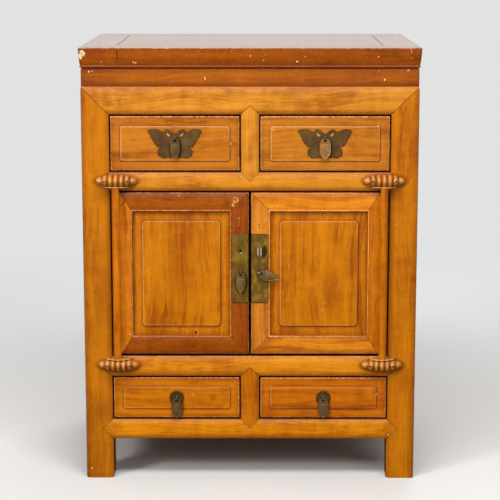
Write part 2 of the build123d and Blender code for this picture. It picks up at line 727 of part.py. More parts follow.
def butterfly_half():
    """Right half of the butterfly plate, drawn 49.8 wide and 54 high from the middle of its top."""
    wing = [
        (0, -8.0), (2.8, -8.2), (5.1, -5.4), (8.5, -2.2), (12.0, -0.7), (15.4, -0.4),
        (18.4, -2.0), (20.9, -4.6), (23.6, -5.2), (27.0, -2.8), (31.8, -0.8), (38.0, 0.0),
        (44.4, -0.4), (49.8, -3.0), (48.4, -6.8), (46.6, -9.4), (44.9, -10.2), (45.4, -13.0),
        (43.8, -15.8), (41.8, -16.4), (42.2, -19.4), (40.6, -22.0), (38.4, -22.4),
        (38.6, -25.4), (36.8, -28.0), (34.8, -28.2), (34.6, -31.0), (32.0, -32.8),
        (28.6, -32.2), (24.4, -32.4), (27.6, -34.4), (30.4, -36.0), (30.2, -38.2),
        (32.2, -40.2), (32.4, -43.6), (30.8, -45.0), (31.8, -47.6), (29.8, -50.2),
        (27.4, -50.0), (25.6, -52.6), (22.4, -54.0), (20.4, -52.4), (18.0, -53.8),
        (15.0, -53.2), (13.2, -51.8), (10.4, -53.0), (6.0, -52.0), (0, -49.6),
    ]
    window = [(8.0, -12.6), (13.9, -6.9), (17.6, -8.0), (11.9, -14.0)]
    across = BUTTERFLY_WIDTH / 2 / 49.8
    down = BUTTERFLY_HEIGHT / 54.0
    wing = [(x * across, z * down) for x, z in wing]
    window = [(x * across, z * down) for x, z in window]
    outer = prism_y(wing, -PLATE_THICKNESS, 0)
    cut = prism_y(window, -PLATE_THICKNESS - PAST, PAST)
    return outer - cut


def butterfly_plate(x, top_z, y):
    """Butterfly plate with the hole for its pin."""
    right = butterfly_half()
    whole = Pos(x, y, top_z) * (right + mirrored(right))
    return whole - pin_hole(x, top_z - BUTTERFLY_EYE, y - PLATE_THICKNESS - PAST, y + PAST)


def rosette_plate(x, z, y):
    """Round plate with a scalloped edge and the hole for its pin."""
    ring = ROSETTE_RADIUS - ROSETTE_LOBE_RADIUS
    disc = cylinder_y(0, 0, ring, -PLATE_THICKNESS, 0)
    for i in range(ROSETTE_LOBES):
        angle = 2 * pi * i / ROSETTE_LOBES
        lobe = cylinder_y(
            ring * cos(angle), ring * sin(angle), ROSETTE_LOBE_RADIUS, -PLATE_THICKNESS, 0
        )
        disc = disc + lobe
    disc = Pos(x, y, z) * disc
    return disc - pin_hole(x, z, y - PLATE_THICKNESS - PAST, y + PAST)


# ---- Drawers ----------------------------------------------------------------------------
def drawer(level, side, stile_width):
    """Right-hand drawer in face coordinates, then set on its side: parts by name."""
    z0, height = OPENINGS[level]
    x0 = stile_width / 2 + DRAWER_SIDE_GAP
    x1 = OPENING_HALF - DRAWER_SIDE_GAP
    low = z0 + DRAWER_EDGE_GAP
    high = z0 + height - DRAWER_EDGE_GAP
    face = DRAWER_RECESS
    back = face + DRAWER_FRONT_THICKNESS
    margin = DRAWER_FIELD_MARGIN
    board = DRAWER_BOARD_THICKNESS
    run_z = z0 + DRAWER_RUN_CLEARANCE
    side_top = high - DRAWER_SIDE_DROP
    grow = JOINT_CLEARANCE

    def tails(spread):
        """Dovetails of a side in (y, z) from its lower edge up."""
        shapes = []
        foot = low + board / 2
        pitch = (side_top - foot) / DOVETAIL_COUNT
        for i in range(DOVETAIL_COUNT):
            z_a = foot + pitch * (i + 0.2) - spread
            z_b = foot + pitch * (i + 0.8) + spread
            y_tip = back - DOVETAIL_LENGTH - spread
            shapes.append(
                [
                    (back, z_a),
                    (y_tip, z_a - DOVETAIL_FLARE),
                    (y_tip, z_b + DOVETAIL_FLARE),
                    (back, z_b),
                ]
            )
        return shapes

    front = block(x0, x1, face, back, low, high)
    front = front + raised_field(
        x0 + margin,
        x1 - margin,
        low + margin,
        high - margin,
        face,
        FIELD_RISE,
        DRAWER_FIELD_CORNER,
    )
    panel_z = run_z + DRAWER_BOTTOM_RISE
    reach = DRAWER_GROOVE
    bottom_limits = (
        x0 + board - reach,
        x1 - board + reach,
        back - reach,
        DRAWER_DEPTH - board + reach,
    )
    bottom = block(*bottom_limits, panel_z, panel_z + DRAWER_BOTTOM_THICKNESS)
    groove = block(
        bottom_limits[0] - grow,
        bottom_limits[1] + grow,
        bottom_limits[2] - grow,
        bottom_limits[3] + grow,
        panel_z - grow,
        panel_z + DRAWER_BOTTOM_THICKNESS + grow,
    )
    front = front - groove
    box = [bottom]
    housing = BACK_HOUSING
    back_board = block(
        x0 + board - housing,
        x1 - board + housing,
        DRAWER_DEPTH - board,
        DRAWER_DEPTH,
        run_z + DRAWER_BOTTOM_RISE / 2,
        side_top,
    )
    box.append(back_board - groove)
    back_slot = block(
        x0 + board - housing - grow,
        x1 - board + housing + grow,
        DRAWER_DEPTH - board - grow,
        DRAWER_DEPTH + PAST,
        run_z + DRAWER_BOTTOM_RISE / 2 - grow,
        side_top + PAST,
    )
    for a, b in ((x0, x0 + board), (x1 - board, x1)):
        plank = block(a, b, back, DRAWER_DEPTH, run_z, side_top) - groove - back_slot
        for points in tails(0.0):
            plank = plank + prism_x(points, a, b)
        for points in tails(grow):
            wide_a = a - PAST if a == x0 else a - grow
            wide_b = b + PAST if b == x1 else b + grow
            front = front - prism_x(points, wide_a, wide_b)
        box.append(plank)

    middle = (x0 + x1) / 2
    field_y = face - FIELD_RISE
    if level == "upper":
        top = high - BUTTERFLY_TOP
        eye_z = top - BUTTERFLY_EYE
        plate = butterfly_plate(middle, top, field_y)
    else:
        eye_z = (low + high) / 2
        plate = rosette_plate(middle, eye_z, field_y)
    front = front - pin_hole(middle, eye_z, field_y - PAST, back + PAST)
    at_eye = Pos(middle, field_y, eye_z)
    parts = {
        "front": [front],
        "box": box,
        "plate": [plate],
        "pin": [at_eye * pin(DRAWER_FRONT_THICKNESS + FIELD_RISE)],
        "pull": [at_eye * pull()],
    }
    placed = {}
    for name, shapes in parts.items():
        shapes = shapes if side > 0 else [mirrored(shape) for shape in shapes]
        placed[name] = [FRONT_FACE * shape for shape in shapes]
    return placed


# ---- Doors ------------------------------------------------------------------------------
def door(side):
    """Right-hand door in face coordinates, then set on its side: parts by name."""
    low = CUPBOARD_Z + DOOR_BOTTOM_GAP
    high = MIDDLE_RAIL_Z - DOOR_TOP_GAP
    lock_x = DOOR_CENTRE_GAP / 2
    lock_in = lock_x + LOCK_STILE_WIDTH
    roll = PIVOT_POST_DIAMETER / 2
    seen_x = PIVOT_X - roll
    hang_in = seen_x - HANGING_STILE_WIDTH
    rail_h = DOOR_RAIL_HEIGHT
    rounding = DOOR_EDGE_ROUNDING
    drop = DOOR_EDGE_DROP
    grow = JOINT_CLEARANCE
    thick = DOOR_THICKNESS

    opening = (lock_in, hang_in, low + rail_h, high - rail_h)
    reach = DOOR_PANEL_TONGUE
    wide = reach + GROOVE_CLEARANCE
    panel_back = DOOR_PANEL_RECESS + DOOR_PANEL_THICKNESS
    groove = block(
        opening[0] - wide,
        opening[1] + wide,
        DOOR_PANEL_RECESS - GROOVE_CLEARANCE,
        panel_back + GROOVE_CLEARANCE,
        opening[2] - wide,
        opening[3] + wide,
    )
    panel = block(
        opening[0] - reach,
        opening[1] + reach,
        DOOR_PANEL_RECESS,
        panel_back,
        opening[2] - reach,
        opening[3] + reach,
    )
    panel = panel + raised_field(
        opening[0] + DOOR_FIELD_MARGIN_X,
        opening[1] - DOOR_FIELD_MARGIN_X,
        opening[2] + DOOR_FIELD_MARGIN_Z,
        opening[3] - DOOR_FIELD_MARGIN_Z,
        DOOR_PANEL_RECESS,
        DOOR_FIELD_RISE,
        DOOR_FIELD_CORNER,
    )

    def tenons(spread):
        """Tenons of both rails into both stiles."""
        y0 = thick - DOOR_TENON_INSET + spread
        shapes = []
        for z_edge, way in ((low, 1), (high, -1)):
            z_a = z_edge + way * (DOOR_TENON_INSET - spread)
            z_b = z_edge + way * (DOOR_TENON_INSET + DOOR_TENON_WIDTH + spread)
            for x_in, x_out in ((lock_in, lock_x), (hang_in, seen_x)):
                outward = 1 if x_out > x_in else -1
                x_end = x_out - outward * (DOOR_TENON_INSET - spread)
                y1 = y0 - DOOR_TENON_THICKNESS - 2 * spread
                shapes.append(block(x_in, x_end, y1, y0, z_a, z_b))
        return shapes

    lock_limits = [
        (lock_x, low), (lock_in, low + rail_h), (lock_in, high - rail_h), (lock_x, high)
    ]
    lock = upright(lock_x, LOCK_STILE_WIDTH, thick, low, high, rounding, drop)
    lock = (lock & prism_y(lock_limits, -PAST, thick)) - groove
    hang_limits = [
        (hang_in, low + rail_h),
        (seen_x, low),
        (PIVOT_X, low),
        (PIVOT_X, high),
        (seen_x, high),
        (hang_in, high - rail_h),
    ]
    width = PIVOT_X + rounding - hang_in
    hang = upright(hang_in, width, thick, low, high, rounding, drop)
    hang = (hang & prism_y(hang_limits, -PAST, thick)) - groove
    roll_low = LOWER_BLOCK_Z + PIVOT_END_CLEARANCE
    roll_high = UPPER_BLOCK_Z - PIVOT_END_CLEARANCE
    roll_z = (roll_low + roll_high) / 2
    neck = block(seen_x, PIVOT_X, -PIVOT_PROUD, thick / 2, low, high)
    post_roll = Pos(PIVOT_X, -PIVOT_PROUD, roll_z) * Cylinder(roll, roll_high - roll_low)
    pin_length = roll_high - roll_low + 2 * PIVOT_PIN_LENGTH
    pins = Pos(PIVOT_X, -PIVOT_PROUD, roll_z) * Cylinder(PIVOT_PIN_DIAMETER / 2, pin_length)
    hang = hang + neck + post_roll + pins
    rails = []
    all_tenons = tenons(0.0)
    for i, (z_edge, z_in) in enumerate(((low, low + rail_h), (high, high - rail_h))):
        limits = [(lock_x, z_edge), (seen_x, z_edge), (hang_in, z_in), (lock_in, z_in)]
        z_low = min(z_edge, z_in)
        bar = crosspiece(lock_x, seen_x, z_low, rail_h, thick, rounding, drop)
        bar = (bar & prism_y(limits, -PAST, thick)) - groove
        for tenon in all_tenons[2 * i : 2 * i + 2]:
            bar = bar + tenon
        rails.append(bar)
    for tenon in tenons(grow):
        lock = lock - tenon
        hang = hang - tenon

    plate_low = CUPBOARD_Z + DOOR_PLATE_FOOT
    plate_x = lock_x + DOOR_PLATE_EDGE
    eye_x = lock_x + DOOR_EYE_EDGE
    eye_z = plate_low + DOOR_EYE_HEIGHT
    staple_z = plate_low + STAPLE_HEIGHT_ON_PLATE
    plate = block(
        plate_x,
        plate_x + DOOR_PLATE_WIDTH,
        -PLATE_THICKNESS,
        0,
        plate_low,
        plate_low + DOOR_PLATE_HEIGHT,
    )
    hole = pin_hole(eye_x, eye_z, -PLATE_THICKNESS - PAST, thick + PAST)
    plate = plate - hole
    lock = lock - hole
    turn = RIGHT_PULL_TURN if side > 0 else 0.0
    at_eye = Pos(eye_x, 0, eye_z)
    parts = {
        "hanging_stile": [hang],
        "lock_stile": [lock],
        "rails": rails,
        "panel": [panel],
        "plate": [plate],
        "pin": [at_eye * pin(thick, turn)],
        "pull": [at_eye * pull(turn)],
    }
    if side > 0:
        staple = staple_loop(eye_x, staple_z)
        legs = staple_legs(eye_x, staple_z, JOINT_CLEARANCE)
        parts["plate"] = [plate - legs]
        parts["lock_stile"] = [lock - legs]
        parts["staple"] = [staple]
    else:
        empty = pin_hole(eye_x, staple_z, -PLATE_THICKNESS - PAST, thick / 2)
        parts["plate"] = [plate - empty]
        parts["lock_stile"] = [lock - empty]
    placed = {}
    for name, shapes in parts.items():
        shapes = shapes if side > 0 else [mirrored(shape) for shape in shapes]
        placed[name] = [FRONT_FACE * shape for shape in shapes]
    return placed


def staple_loop(x, z):
    """Square staple of flat strip that takes a sliding lock bolt, with its two legs."""
    half = STAPLE_WIDTH / 2
    high = STAPLE_HEIGHT / 2
    front = -PLATE_THICKNESS - STAPLE_PROUD
    outer = block(x - half, x + half, front, -PLATE_THICKNESS, z - high, z + high)
    inner = block(
        x - half - PAST,
        x + half + PAST,
        front + STAPLE_THICKNESS,
        PAST,
        z - high + STAPLE_THICKNESS,
        z + high - STAPLE_THICKNESS,
    )
    return (outer - inner) + staple_legs(x, z)


def staple_legs(x, z, grow=0.0):
    """Narrow legs of the staple through the plate into the stile."""
    half = STAPLE_WIDTH / 4 + grow
    high = STAPLE_HEIGHT / 2
    legs = []
    for way in (-1, 1):
        z_out = z + way * (high + grow)
        z_in = z + way * (high - STAPLE_THICKNESS - grow)
        y0 = -PLATE_THICKNESS
        y1 = DOOR_THICKNESS / 2 + grow
        legs.append(block(x - half, x + half, y0, y1, z_out, z_in))
    return legs[0] + legs[1]


# ---- The whole cabinet, node by node ----------------------------------------------------
def carcase():
    """Every fixed piece of the cabinet."""
    nodes = {}
    front_post = post()
    rear_post = mirrored_in_depth(front_post)
    front_groove_cuts = [FRONT_FACE * panel_groove(OPENING_HALF, level) for level in OPENINGS]
    rear_groove_cuts = [mirrored_in_depth(cut) for cut in front_groove_cuts]
    for cut in rear_groove_cuts:
        rear_post = rear_post - cut
    rails = {}
    for level, (z0, height) in RAILS.items():
        rails[level] = {
            "front": FRONT_FACE * rail(OPENING_HALF, z0, height, grooved=False),
            "rear": REAR_FACE * rail(OPENING_HALF, z0, height),
            "right": RIGHT_FACE * rail(SIDE_OPENING_HALF, z0, height),
            "left": LEFT_FACE * rail(SIDE_OPENING_HALF, z0, height),
        }
    for z1 in (LOWER_OPENING_Z, CUPBOARD_Z, UPPER_OPENING_Z):
        level = {LOWER_OPENING_Z: "bottom", CUPBOARD_Z: "lower", UPPER_OPENING_Z: "middle"}[z1]
        groove = Pos(0, MIDDLE_Y, 0) * board_tongue(z1, JOINT_CLEARANCE)
        for face in rails[level]:
            rails[level][face] = rails[level][face] - groove
    for level, width in (("upper", UPPER_STILE_WIDTH), ("lower", LOWER_STILE_WIDTH)):
        housing = stile_flaps(level, width, JOINT_CLEARANCE)
        mortise = stile_tenons(level, width, JOINT_CLEARANCE)
        for near in {"upper": ("top", "middle"), "lower": ("lower", "bottom")}[level]:
            cut_rail = rails[near]["front"] - FRONT_FACE * housing
            rails[near]["front"] = cut_rail - FRONT_FACE * mortise
        nodes[f"{level}_centre_stile"] = [centre_stile(level, width)]

    blocks = []
    pegs = []
    for face_z, upwards in ((UPPER_BLOCK_Z, 1), (LOWER_BLOCK_Z, -1)):
        level = "middle" if upwards > 0 else "lower"
        right_block = pivot_block(face_z, upwards)
        right_block = right_block - front_post - rails[level]["front"]
        blocks += [right_block, mirrored(right_block)]
        z = face_z + upwards * BLOCK_HEIGHT / 2
        for x in PEG_PLACES:
            right_peg = FRONT_FACE * peg(x, z)
            pegs += [right_peg, mirrored(right_peg)]
            hole = FRONT_FACE * peg(x, z, JOINT_CLEARANCE)
            front_post = front_post - hole
            rails[level]["front"] = rails[level]["front"] - hole - mirrored(hole)
    nodes["pivot_blocks"] = blocks
    nodes["pivot_block_pegs"] = pegs

    nodes["post_front_right"] = [front_post]
    nodes["post_front_left"] = [mirrored(front_post)]
    nodes["post_rear_right"] = [rear_post]
    nodes["post_rear_left"] = [mirrored(rear_post)]
    for level in RAILS:
        nodes[f"front_{level}_rail"] = [rails[level]["front"]]
    nodes["side_rails"] = [rails[level][face] for face in SIDES for level in RAILS]
    nodes["rear_rails"] = [rails[level]["rear"] for level in RAILS]
    nodes["side_panels"] = [
        face * panel(SIDE_OPENING_HALF, level)
        for face in (LEFT_FACE, RIGHT_FACE)
        for level in OPENINGS
    ]
    nodes["rear_panels"] = [REAR_FACE * panel(OPENING_HALF, level) for level in OPENINGS]
    nodes["interior_boards"] = [
        interior_board(z1) for z1 in (LOWER_OPENING_Z, CUPBOARD_Z, UPPER_OPENING_Z)
    ]
    nodes["drawer_guides"] = drawer_guides(UPPER_OPENING_Z, UPPER_STILE_WIDTH)
    nodes["drawer_guides"] += drawer_guides(LOWER_OPENING_Z, LOWER_STILE_WIDTH)
    nodes.update(top_and_waist())
    return nodes


def top_and_waist():
    """Top frame, its panel and battens, and the waist boards."""
    nodes = {}
    faces = {
        "front": (FRONT_FACE, HALF_WIDTH, HALF_DEPTH),
        "rear": (REAR_FACE, HALF_WIDTH, HALF_DEPTH),
        "left": (LEFT_FACE, HALF_DEPTH, HALF_WIDTH),
        "right": (RIGHT_FACE, HALF_DEPTH, HALF_WIDTH),
    }
    right_mortise = post_tenon(JOINT_CLEARANCE)
    rear_mortise = mirrored_in_depth(right_mortise)
    mortises = [right_mortise, mirrored(right_mortise), rear_mortise, mirrored(rear_mortise)]
    slots = battens(JOINT_CLEARANCE)
    boards = []
    for name, (face, half, depth_half) in faces.items():
        member = face * top_member(half, depth_half, name in ("front", "rear"))
        for cut in mortises + slots:
            member = member - cut
        nodes[f"top_frame_{name}"] = [member]
        boards.append(face * waist_board(half))
    nodes["waist_boards"] = boards
    nodes["top_panel"] = [top_panel()]
    nodes["top_battens"] = battens()
    return nodes


def main():
    """Write every node to its own file."""
    nodes = carcase()
    for name, side in SIDES.items():
        for part_name, shapes in door(side).items():
            nodes[f"{name}_door_{part_name}"] = shapes
        for level, width in (("upper", UPPER_STILE_WIDTH), ("lower", LOWER_STILE_WIDTH)):
            for part_name, shapes in drawer(level, side, width).items():
                nodes[f"{level}_{name}_drawer_{part_name}"] = shapes
    os.makedirs("parts", exist_ok=True)
    for name, shapes in nodes.items():
        solids = [solid for shape in shapes for solid in shape.solids()]
        whole = solids[0] if len(solids) == 1 else Compound(children=solids)
        export_step(whole, f"parts/{name}.step")
    print(len(nodes), "nodes")


main()
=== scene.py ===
import math
from functools import partialmethod
import bmesh
import bpy
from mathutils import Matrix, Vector
from mathutils.bvhtree import BVHTree


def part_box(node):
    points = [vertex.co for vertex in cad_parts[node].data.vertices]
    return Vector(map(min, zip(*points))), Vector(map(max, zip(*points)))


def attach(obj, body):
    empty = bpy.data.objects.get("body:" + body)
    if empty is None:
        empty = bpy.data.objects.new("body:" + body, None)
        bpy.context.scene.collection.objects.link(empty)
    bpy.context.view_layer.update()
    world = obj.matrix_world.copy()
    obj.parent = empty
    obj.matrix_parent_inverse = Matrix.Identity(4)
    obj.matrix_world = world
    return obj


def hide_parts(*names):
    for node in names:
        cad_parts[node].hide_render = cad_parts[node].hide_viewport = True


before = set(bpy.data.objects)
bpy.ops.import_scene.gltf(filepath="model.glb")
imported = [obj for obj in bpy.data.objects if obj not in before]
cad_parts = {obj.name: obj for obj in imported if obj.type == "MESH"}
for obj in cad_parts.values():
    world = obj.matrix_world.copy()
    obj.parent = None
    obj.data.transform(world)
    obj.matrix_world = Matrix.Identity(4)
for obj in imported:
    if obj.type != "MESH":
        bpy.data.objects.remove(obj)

scene = bpy.context.scene
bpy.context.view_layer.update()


# ---- Posts ----
# Four square uprights of a pale, close-grained southern hardwood, planed slightly round on
# the outer faces and finished with many coats of amber lacquer. Each runs down into a leg
# and up through the waist, and its arrises are eased and painted pale, partly from use and
# partly as a painted highlight.
class Value:
    """A socket in a finish's tree: arithmetic on it adds Math nodes."""

    def __init__(self, finish, socket):
        self.finish = finish
        self.socket = socket

    def math(self, operation, *others):
        return self.finish.node("Math", [self, *others], operation=operation)

    __add__ = __radd__ = partialmethod(math, "ADD")
    __sub__ = partialmethod(math, "SUBTRACT")
    __mul__ = partialmethod(math, "MULTIPLY")
    lesser = partialmethod(math, "MINIMUM")
    greater = partialmethod(math, "MAXIMUM")
    size = partialmethod(math, "ABSOLUTE")

    def __rsub__(self, other):
        return self.finish.node("Math", [other, self], operation="SUBTRACT")

    def rise(self, start, end, low=0.0, high=1.0):
        """Low up to start, high from end on, smooth between."""
        inputs = {"Value": self, "From Min": start, "From Max": end, "To Min": low, "To Max": high}
        return self.finish.node("MapRange", inputs, interpolation_type="SMOOTHSTEP")

    def fall(self, start, end):
        """1 up to start, 0 from end on, smooth between."""
        return self.rise(start, end, 1.0, 0.0)


class Finish:
    """A material or world built up node by node, its places in the model's own metres."""

    def __init__(self, name, kind="Material"):
        self.kind = kind
        self.owner = (bpy.data.worlds if kind == "World" else bpy.data.materials).new(name)
        self.owner.use_nodes = True
        self.tree = self.owner.node_tree
        self.tree.nodes.clear()
        self.place = self.node("TexCoord", output="Object")

    def node(self, kind, inputs=(), output=0, **settings):
        """Any shader node: its settings first, then the values or links of its sockets."""
        node = self.tree.nodes.new(f"ShaderNode{kind}")
        for key, setting in settings.items():
            setattr(node, key, setting)
        for key, given in inputs.items() if isinstance(inputs, dict) else enumerate(inputs):
            if isinstance(given, Value):
                self.tree.links.new(given.socket, node.inputs[key])
            else:
                node.inputs[key].default_value = given
        return Value(self, node.outputs[output])

    def blend(self, amount, first, second):
        """Colour first, going over to second with amount."""
        inputs = {0: amount, 6: first, 7: second}
        return self.node("Mix", inputs, output=2, data_type="RGBA")

    def over(self, amount, colour):
        """Lays a colour over the finish's own as far as amount."""
        self.colour = self.blend(amount, self.colour, colour)

    def shade(self, amount, red, green, blue):
        """Lays a tint of the finish's dark tone over it."""
        self.over(amount, tinted(self.dark, red, green, blue))

    def vector(self, operation, *operands, output=0):
        return self.node("VectorMath", operands, output=output, operation=operation)

    def length(self, vector):
        return self.vector("LENGTH", vector, output="Value")

    def part(self, vector, letter):
        """One coordinate of a vector."""
        return self.node("SeparateXYZ", [vector], output=letter)

    def ray(self, kind):
        """1 for what rays of one kind see, and 0 for the others."""
        return self.node("LightPath", output=f"Is {kind} Ray")

    def away(self, middle):
        """From a point to the place."""
        return self.vector("SUBTRACT", self.place, middle)

    def turned(self, vector, angle):
        """The vector turned about the y axis."""
        inputs = {"Vector": vector, "Angle": angle}
        return self.node("VectorRotate", inputs, rotation_type="Y_AXIS")

    def clouds(self, vector, scale, detail=2.0, roughness=0.5, output=0):
        inputs = {"Vector": vector, "Scale": scale, "Detail": detail, "Roughness": roughness}
        return self.node("TexNoise", inputs, output=output)

    def cells(self, vector, scale):
        return self.node("TexVoronoi", {"Vector": vector, "Scale": scale}, feature="F1")

    def drawn_out(self, vector, grain, across, along):
        """The vector scaled by across, but by along in the direction of the grain."""
        scale = [across, across, across]
        scale[grain] = along
        return self.vector("MULTIPLY", vector, scale)

    def wandering(self, vector, grain, scale, reach):
        """The vector led aside from the grain by slow clouds."""
        clouds = self.clouds(vector, scale, 1.0, output="Color")
        aside = self.vector("SUBTRACT", clouds, (0.5, 0.5, 0.5))
        return self.vector("ADD", vector, self.drawn_out(aside, grain, reach, 0.0))

    def wear_and_shade(self):
        """What eased writes on faces: ARRIS, JOINT, MOUTH or RIM; MOUTH takes painted shade, and
        RIM patina with painted shade.
        """
        return self.node("Attribute", output="Fac", attribute_name="wear_and_shade")

    def surface(self, roughness, height, others):
        """Principled surface with a bump from a height in metres."""
        bump = self.node("Bump", {"Strength": 1.0, "Distance": 1.0, "Height": height})
        sockets = {"Base Color": self.colour, "Roughness": roughness, "Normal": bump, **others}
        return self.shown(self.node("BsdfPrincipled", sockets))

    def shown(self, shader):
        """Puts the shader on the output and gives back the material or world."""
        output = self.tree.nodes.new(f"ShaderNodeOutput{self.kind}")
        self.tree.links.new(shader.socket, output.inputs["Surface"])
        return self.owner


def paint(red, green, blue):
    """Linear colour of an 8-bit sRGB one. Tones of wood are given as 8-bit colours."""
    shares = [channel / 255 for channel in (red, green, blue)]
    linear = [s / 12.92 if s <= 0.04045 else ((s + 0.055) / 1.055) ** 2.4 for s in shares]
    return (*linear, 1.0)


def tinted(colour, red, green, blue):
    """The colour with each channel scaled."""
    scaled = [min(1.0, channel * k) for channel, k in zip(colour, (red, green, blue))]
    return (*scaled, 1.0)


def box_of(node, hidden=0.0):
    """A node's box, longer up and down by what is hidden in joints."""
    low, high = (list(corner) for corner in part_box(node))
    low[2] -= hidden
    high[2] += hidden
    return low, high


def edge_distance(finish, box):
    """How far a place on a box-shaped member is from that member's nearest arris."""
    low, high = box
    middle = [(low[i] + high[i]) / 2 for i in range(3)]
    half = [(high[i] - low[i]) / 2 for i in range(3)]
    offset = finish.vector("ABSOLUTE", finish.away(middle))
    inside = finish.vector("SUBTRACT", half, offset)
    x, y, z = (finish.part(inside, i) for i in range(3))
    return x.lesser(y).greater(x.greater(y).lesser(z))


def field_distance(finish, x0, x1, z0, z1, corner):
    """Signed distance from the outline of a raised field with round corners."""
    middle = ((x0 + x1) / 2, 0.0, (z0 + z1) / 2)
    half = ((x1 - x0) / 2 - corner, 0.0, (z1 - z0) / 2 - corner)
    flat = finish.vector("MULTIPLY", finish.place, (1.0, 0.0, 1.0))
    offset = finish.vector("ABSOLUTE", finish.vector("SUBTRACT", flat, middle))
    past = finish.vector("SUBTRACT", offset, half)
    inner = finish.part(past, "X").greater(finish.part(past, "Z")).lesser(0.0)
    return finish.length(finish.vector("MAXIMUM", past, (0.0, 0.0, 0.0))) + inner - corner


PALE_WOOD = paint(236, 190, 136)
GRIME = paint(70, 28, 8)
GAP_SHADE = paint(52, 12, 3)
ARRIS, JOINT, MOUTH, RIM = 1.0, -1.0, -2.0, 0.6
FRONT_Y = -0.219  # the flat of the posts, rails and door frames
TOP_Z = 0.8095  # above it lies only the top's own surface, which has lost no gloss
OPENING_X = 0.2588  # the openings for doors and drawers end here


def draw_field(finish, field, edging):
    """Lines of a raised field, on its front only: painted shade in the sunk border and round its
    foot, darkest on the right and below, and a painted highlight along its crest, scaled by
    edging and strongest where the slope looks up and to the left."""
    x0, x1, z0, z1 = field[:4]
    rough = finish.rough - 0.5
    front = finish.part(finish.place, "Y").fall(FRONT_Y + 0.0075, FRONT_Y + 0.0085)
    outline = field_distance(finish, *field)
    foot = (outline - 0.0004 + rough * 0.0008).size().fall(0.0002, 0.0013) * front
    crest = (outline + 0.0018 + rough * 0.001).size().fall(0.0003, 0.0013) * front
    gloom = outline.rise(-0.001, 0.001) * outline.fall(0.001, 0.009) * front
    centred = finish.away(((x0 + x1) / 2, 0.0, (z0 + z1) / 2))
    facing = (-1.0 / (x1 - x0), 0.0, 1.0 / (z1 - z0))
    raised = finish.vector("DOT_PRODUCT", centred, facing, output="Value").rise(-0.35, 0.15)
    # Painted shade in the sunk border and at the foot, lighter where the slope faces up and to the
    # left, towards the light.
    finish.shade(gloom * 0.16, 0.8, 0.66, 0.6)
    finish.shade(foot * (0.86 - raised * 0.4), 0.5, 0.34, 0.3)
    # Painted highlight along the crest.
    pale = crest * finish.ragged.rise(0.22, 0.5) * (raised * 0.38 + 0.12) * edging
    finish.over(pale, PALE_WOOD)
    finish.shine += gloom * 0.12 + foot * 0.35


def leave_mark(finish, plane, kind, x, z, reach, aspect=1.0, degrees=0.0, y=None):
    """One flaw of the lacquer, in millimetres, on the plane or at y. Its height is divided by
    aspect before it is turned."""
    away = finish.away((x / 1000, plane if y is None else y / 1000, z / 1000))
    if degrees:
        away = finish.turned(away, math.radians(degrees))
    radius = finish.length(finish.vector("MULTIPLY", away, (1.0, 0.2, aspect)))
    reach = reach / 1000
    ragged, rough, dark = finish.ragged, finish.rough, finish.dark
    if kind == "plug":
        ring = (radius + (ragged - 0.5) * 0.001 - reach).size().fall(0.0004, 0.0013)
        finish.over(radius.fall(reach * 0.3, reach) * 0.12, PALE_WOOD)
        finish.shade(ring * 0.8, 0.75, 0.5, 0.4)
        finish.height -= ring * 0.0002
        return
    if kind == "scuff":
        loop = (radius + (ragged - 0.5) * reach * 1.1 - reach * 0.8).size()
        spot = loop.fall(0.0006, 0.0014) * (ragged + rough * 0.5).rise(0.7, 0.79)
        crumbs = radius.fall(reach * 0.8, reach * 1.3) * rough.rise(0.64, 0.7)
        finish.over(spot.greater(crumbs) * 0.75, PALE_WOOD)
        finish.shine += spot * 0.15
        return
    # How ragged and how rough it is, where it starts to fade and is gone, strength, colour
    # and how deep it is sunk.
    by_ragged, by_rough, start, end, strength, colour, sunk = {
        "chip": (1.6, 0.9, 0.5, 0.66, 0.85, PALE_WOOD, 0.0005),
        "scratch": (0.0, 0.9, 0.2, 0.8, 0.55, PALE_WOOD, 0.0002),
        "crack": (0.0, 0.4, 0.4, 1.0, 0.8, paint(44, 16, 6), 0.0003),
        "hole": (0.0, 0.5, 0.55, 0.85, 0.95, paint(28, 10, 4), 0.0015),
        "knot": (0.6, 0.0, 0.0, 1.2, 1.0, tinted(dark, 0.8, 0.7, 0.6), 0.0),
        "stain": (0.5, 0.0, 0.0, 1.3, 0.45, tinted(dark, 0.9, 0.8, 0.8), 0.0),
        # a paler patch, painted light on the front posts
        "lightened": (0.5, 0.0, 0.0, 1.3, 0.45, finish.light, 0.0),
        # painted shadow round a thing that stands off the surface
        "shadow_halo": (0.0, 0.0, 1.0, 1.22, 0.62, tinted(dark, 0.62, 0.44, 0.36), 0.0),
        "clean": (0.0, 0.0, 0.8, 1.2, 0.55, paint(246, 190, 116), 0.0),
    }[kind]
    if kind == "knot":
        strength = (radius * 900.0 + finish.cloud * 6.0).math("SINE") * 0.175 + 0.625
    if by_ragged:
        radius += (ragged - 0.5) * (by_ragged * reach)
    if by_rough:
        radius += (rough - 0.5) * (by_rough * reach)
    spot = radius.fall(reach * start, reach * end)
    if kind == "chip":
        finish.shade(radius.fall(reach * 0.62, reach * 1.05) * 0.35, 0.7, 0.6, 0.5)
        colour = finish.blend(rough.rise(0.4, 0.6), colour, paint(238, 214, 186))
        finish.shine += spot * 0.3
    finish.over(spot * strength, colour)
    if sunk:
        finish.height -= spot * sunk


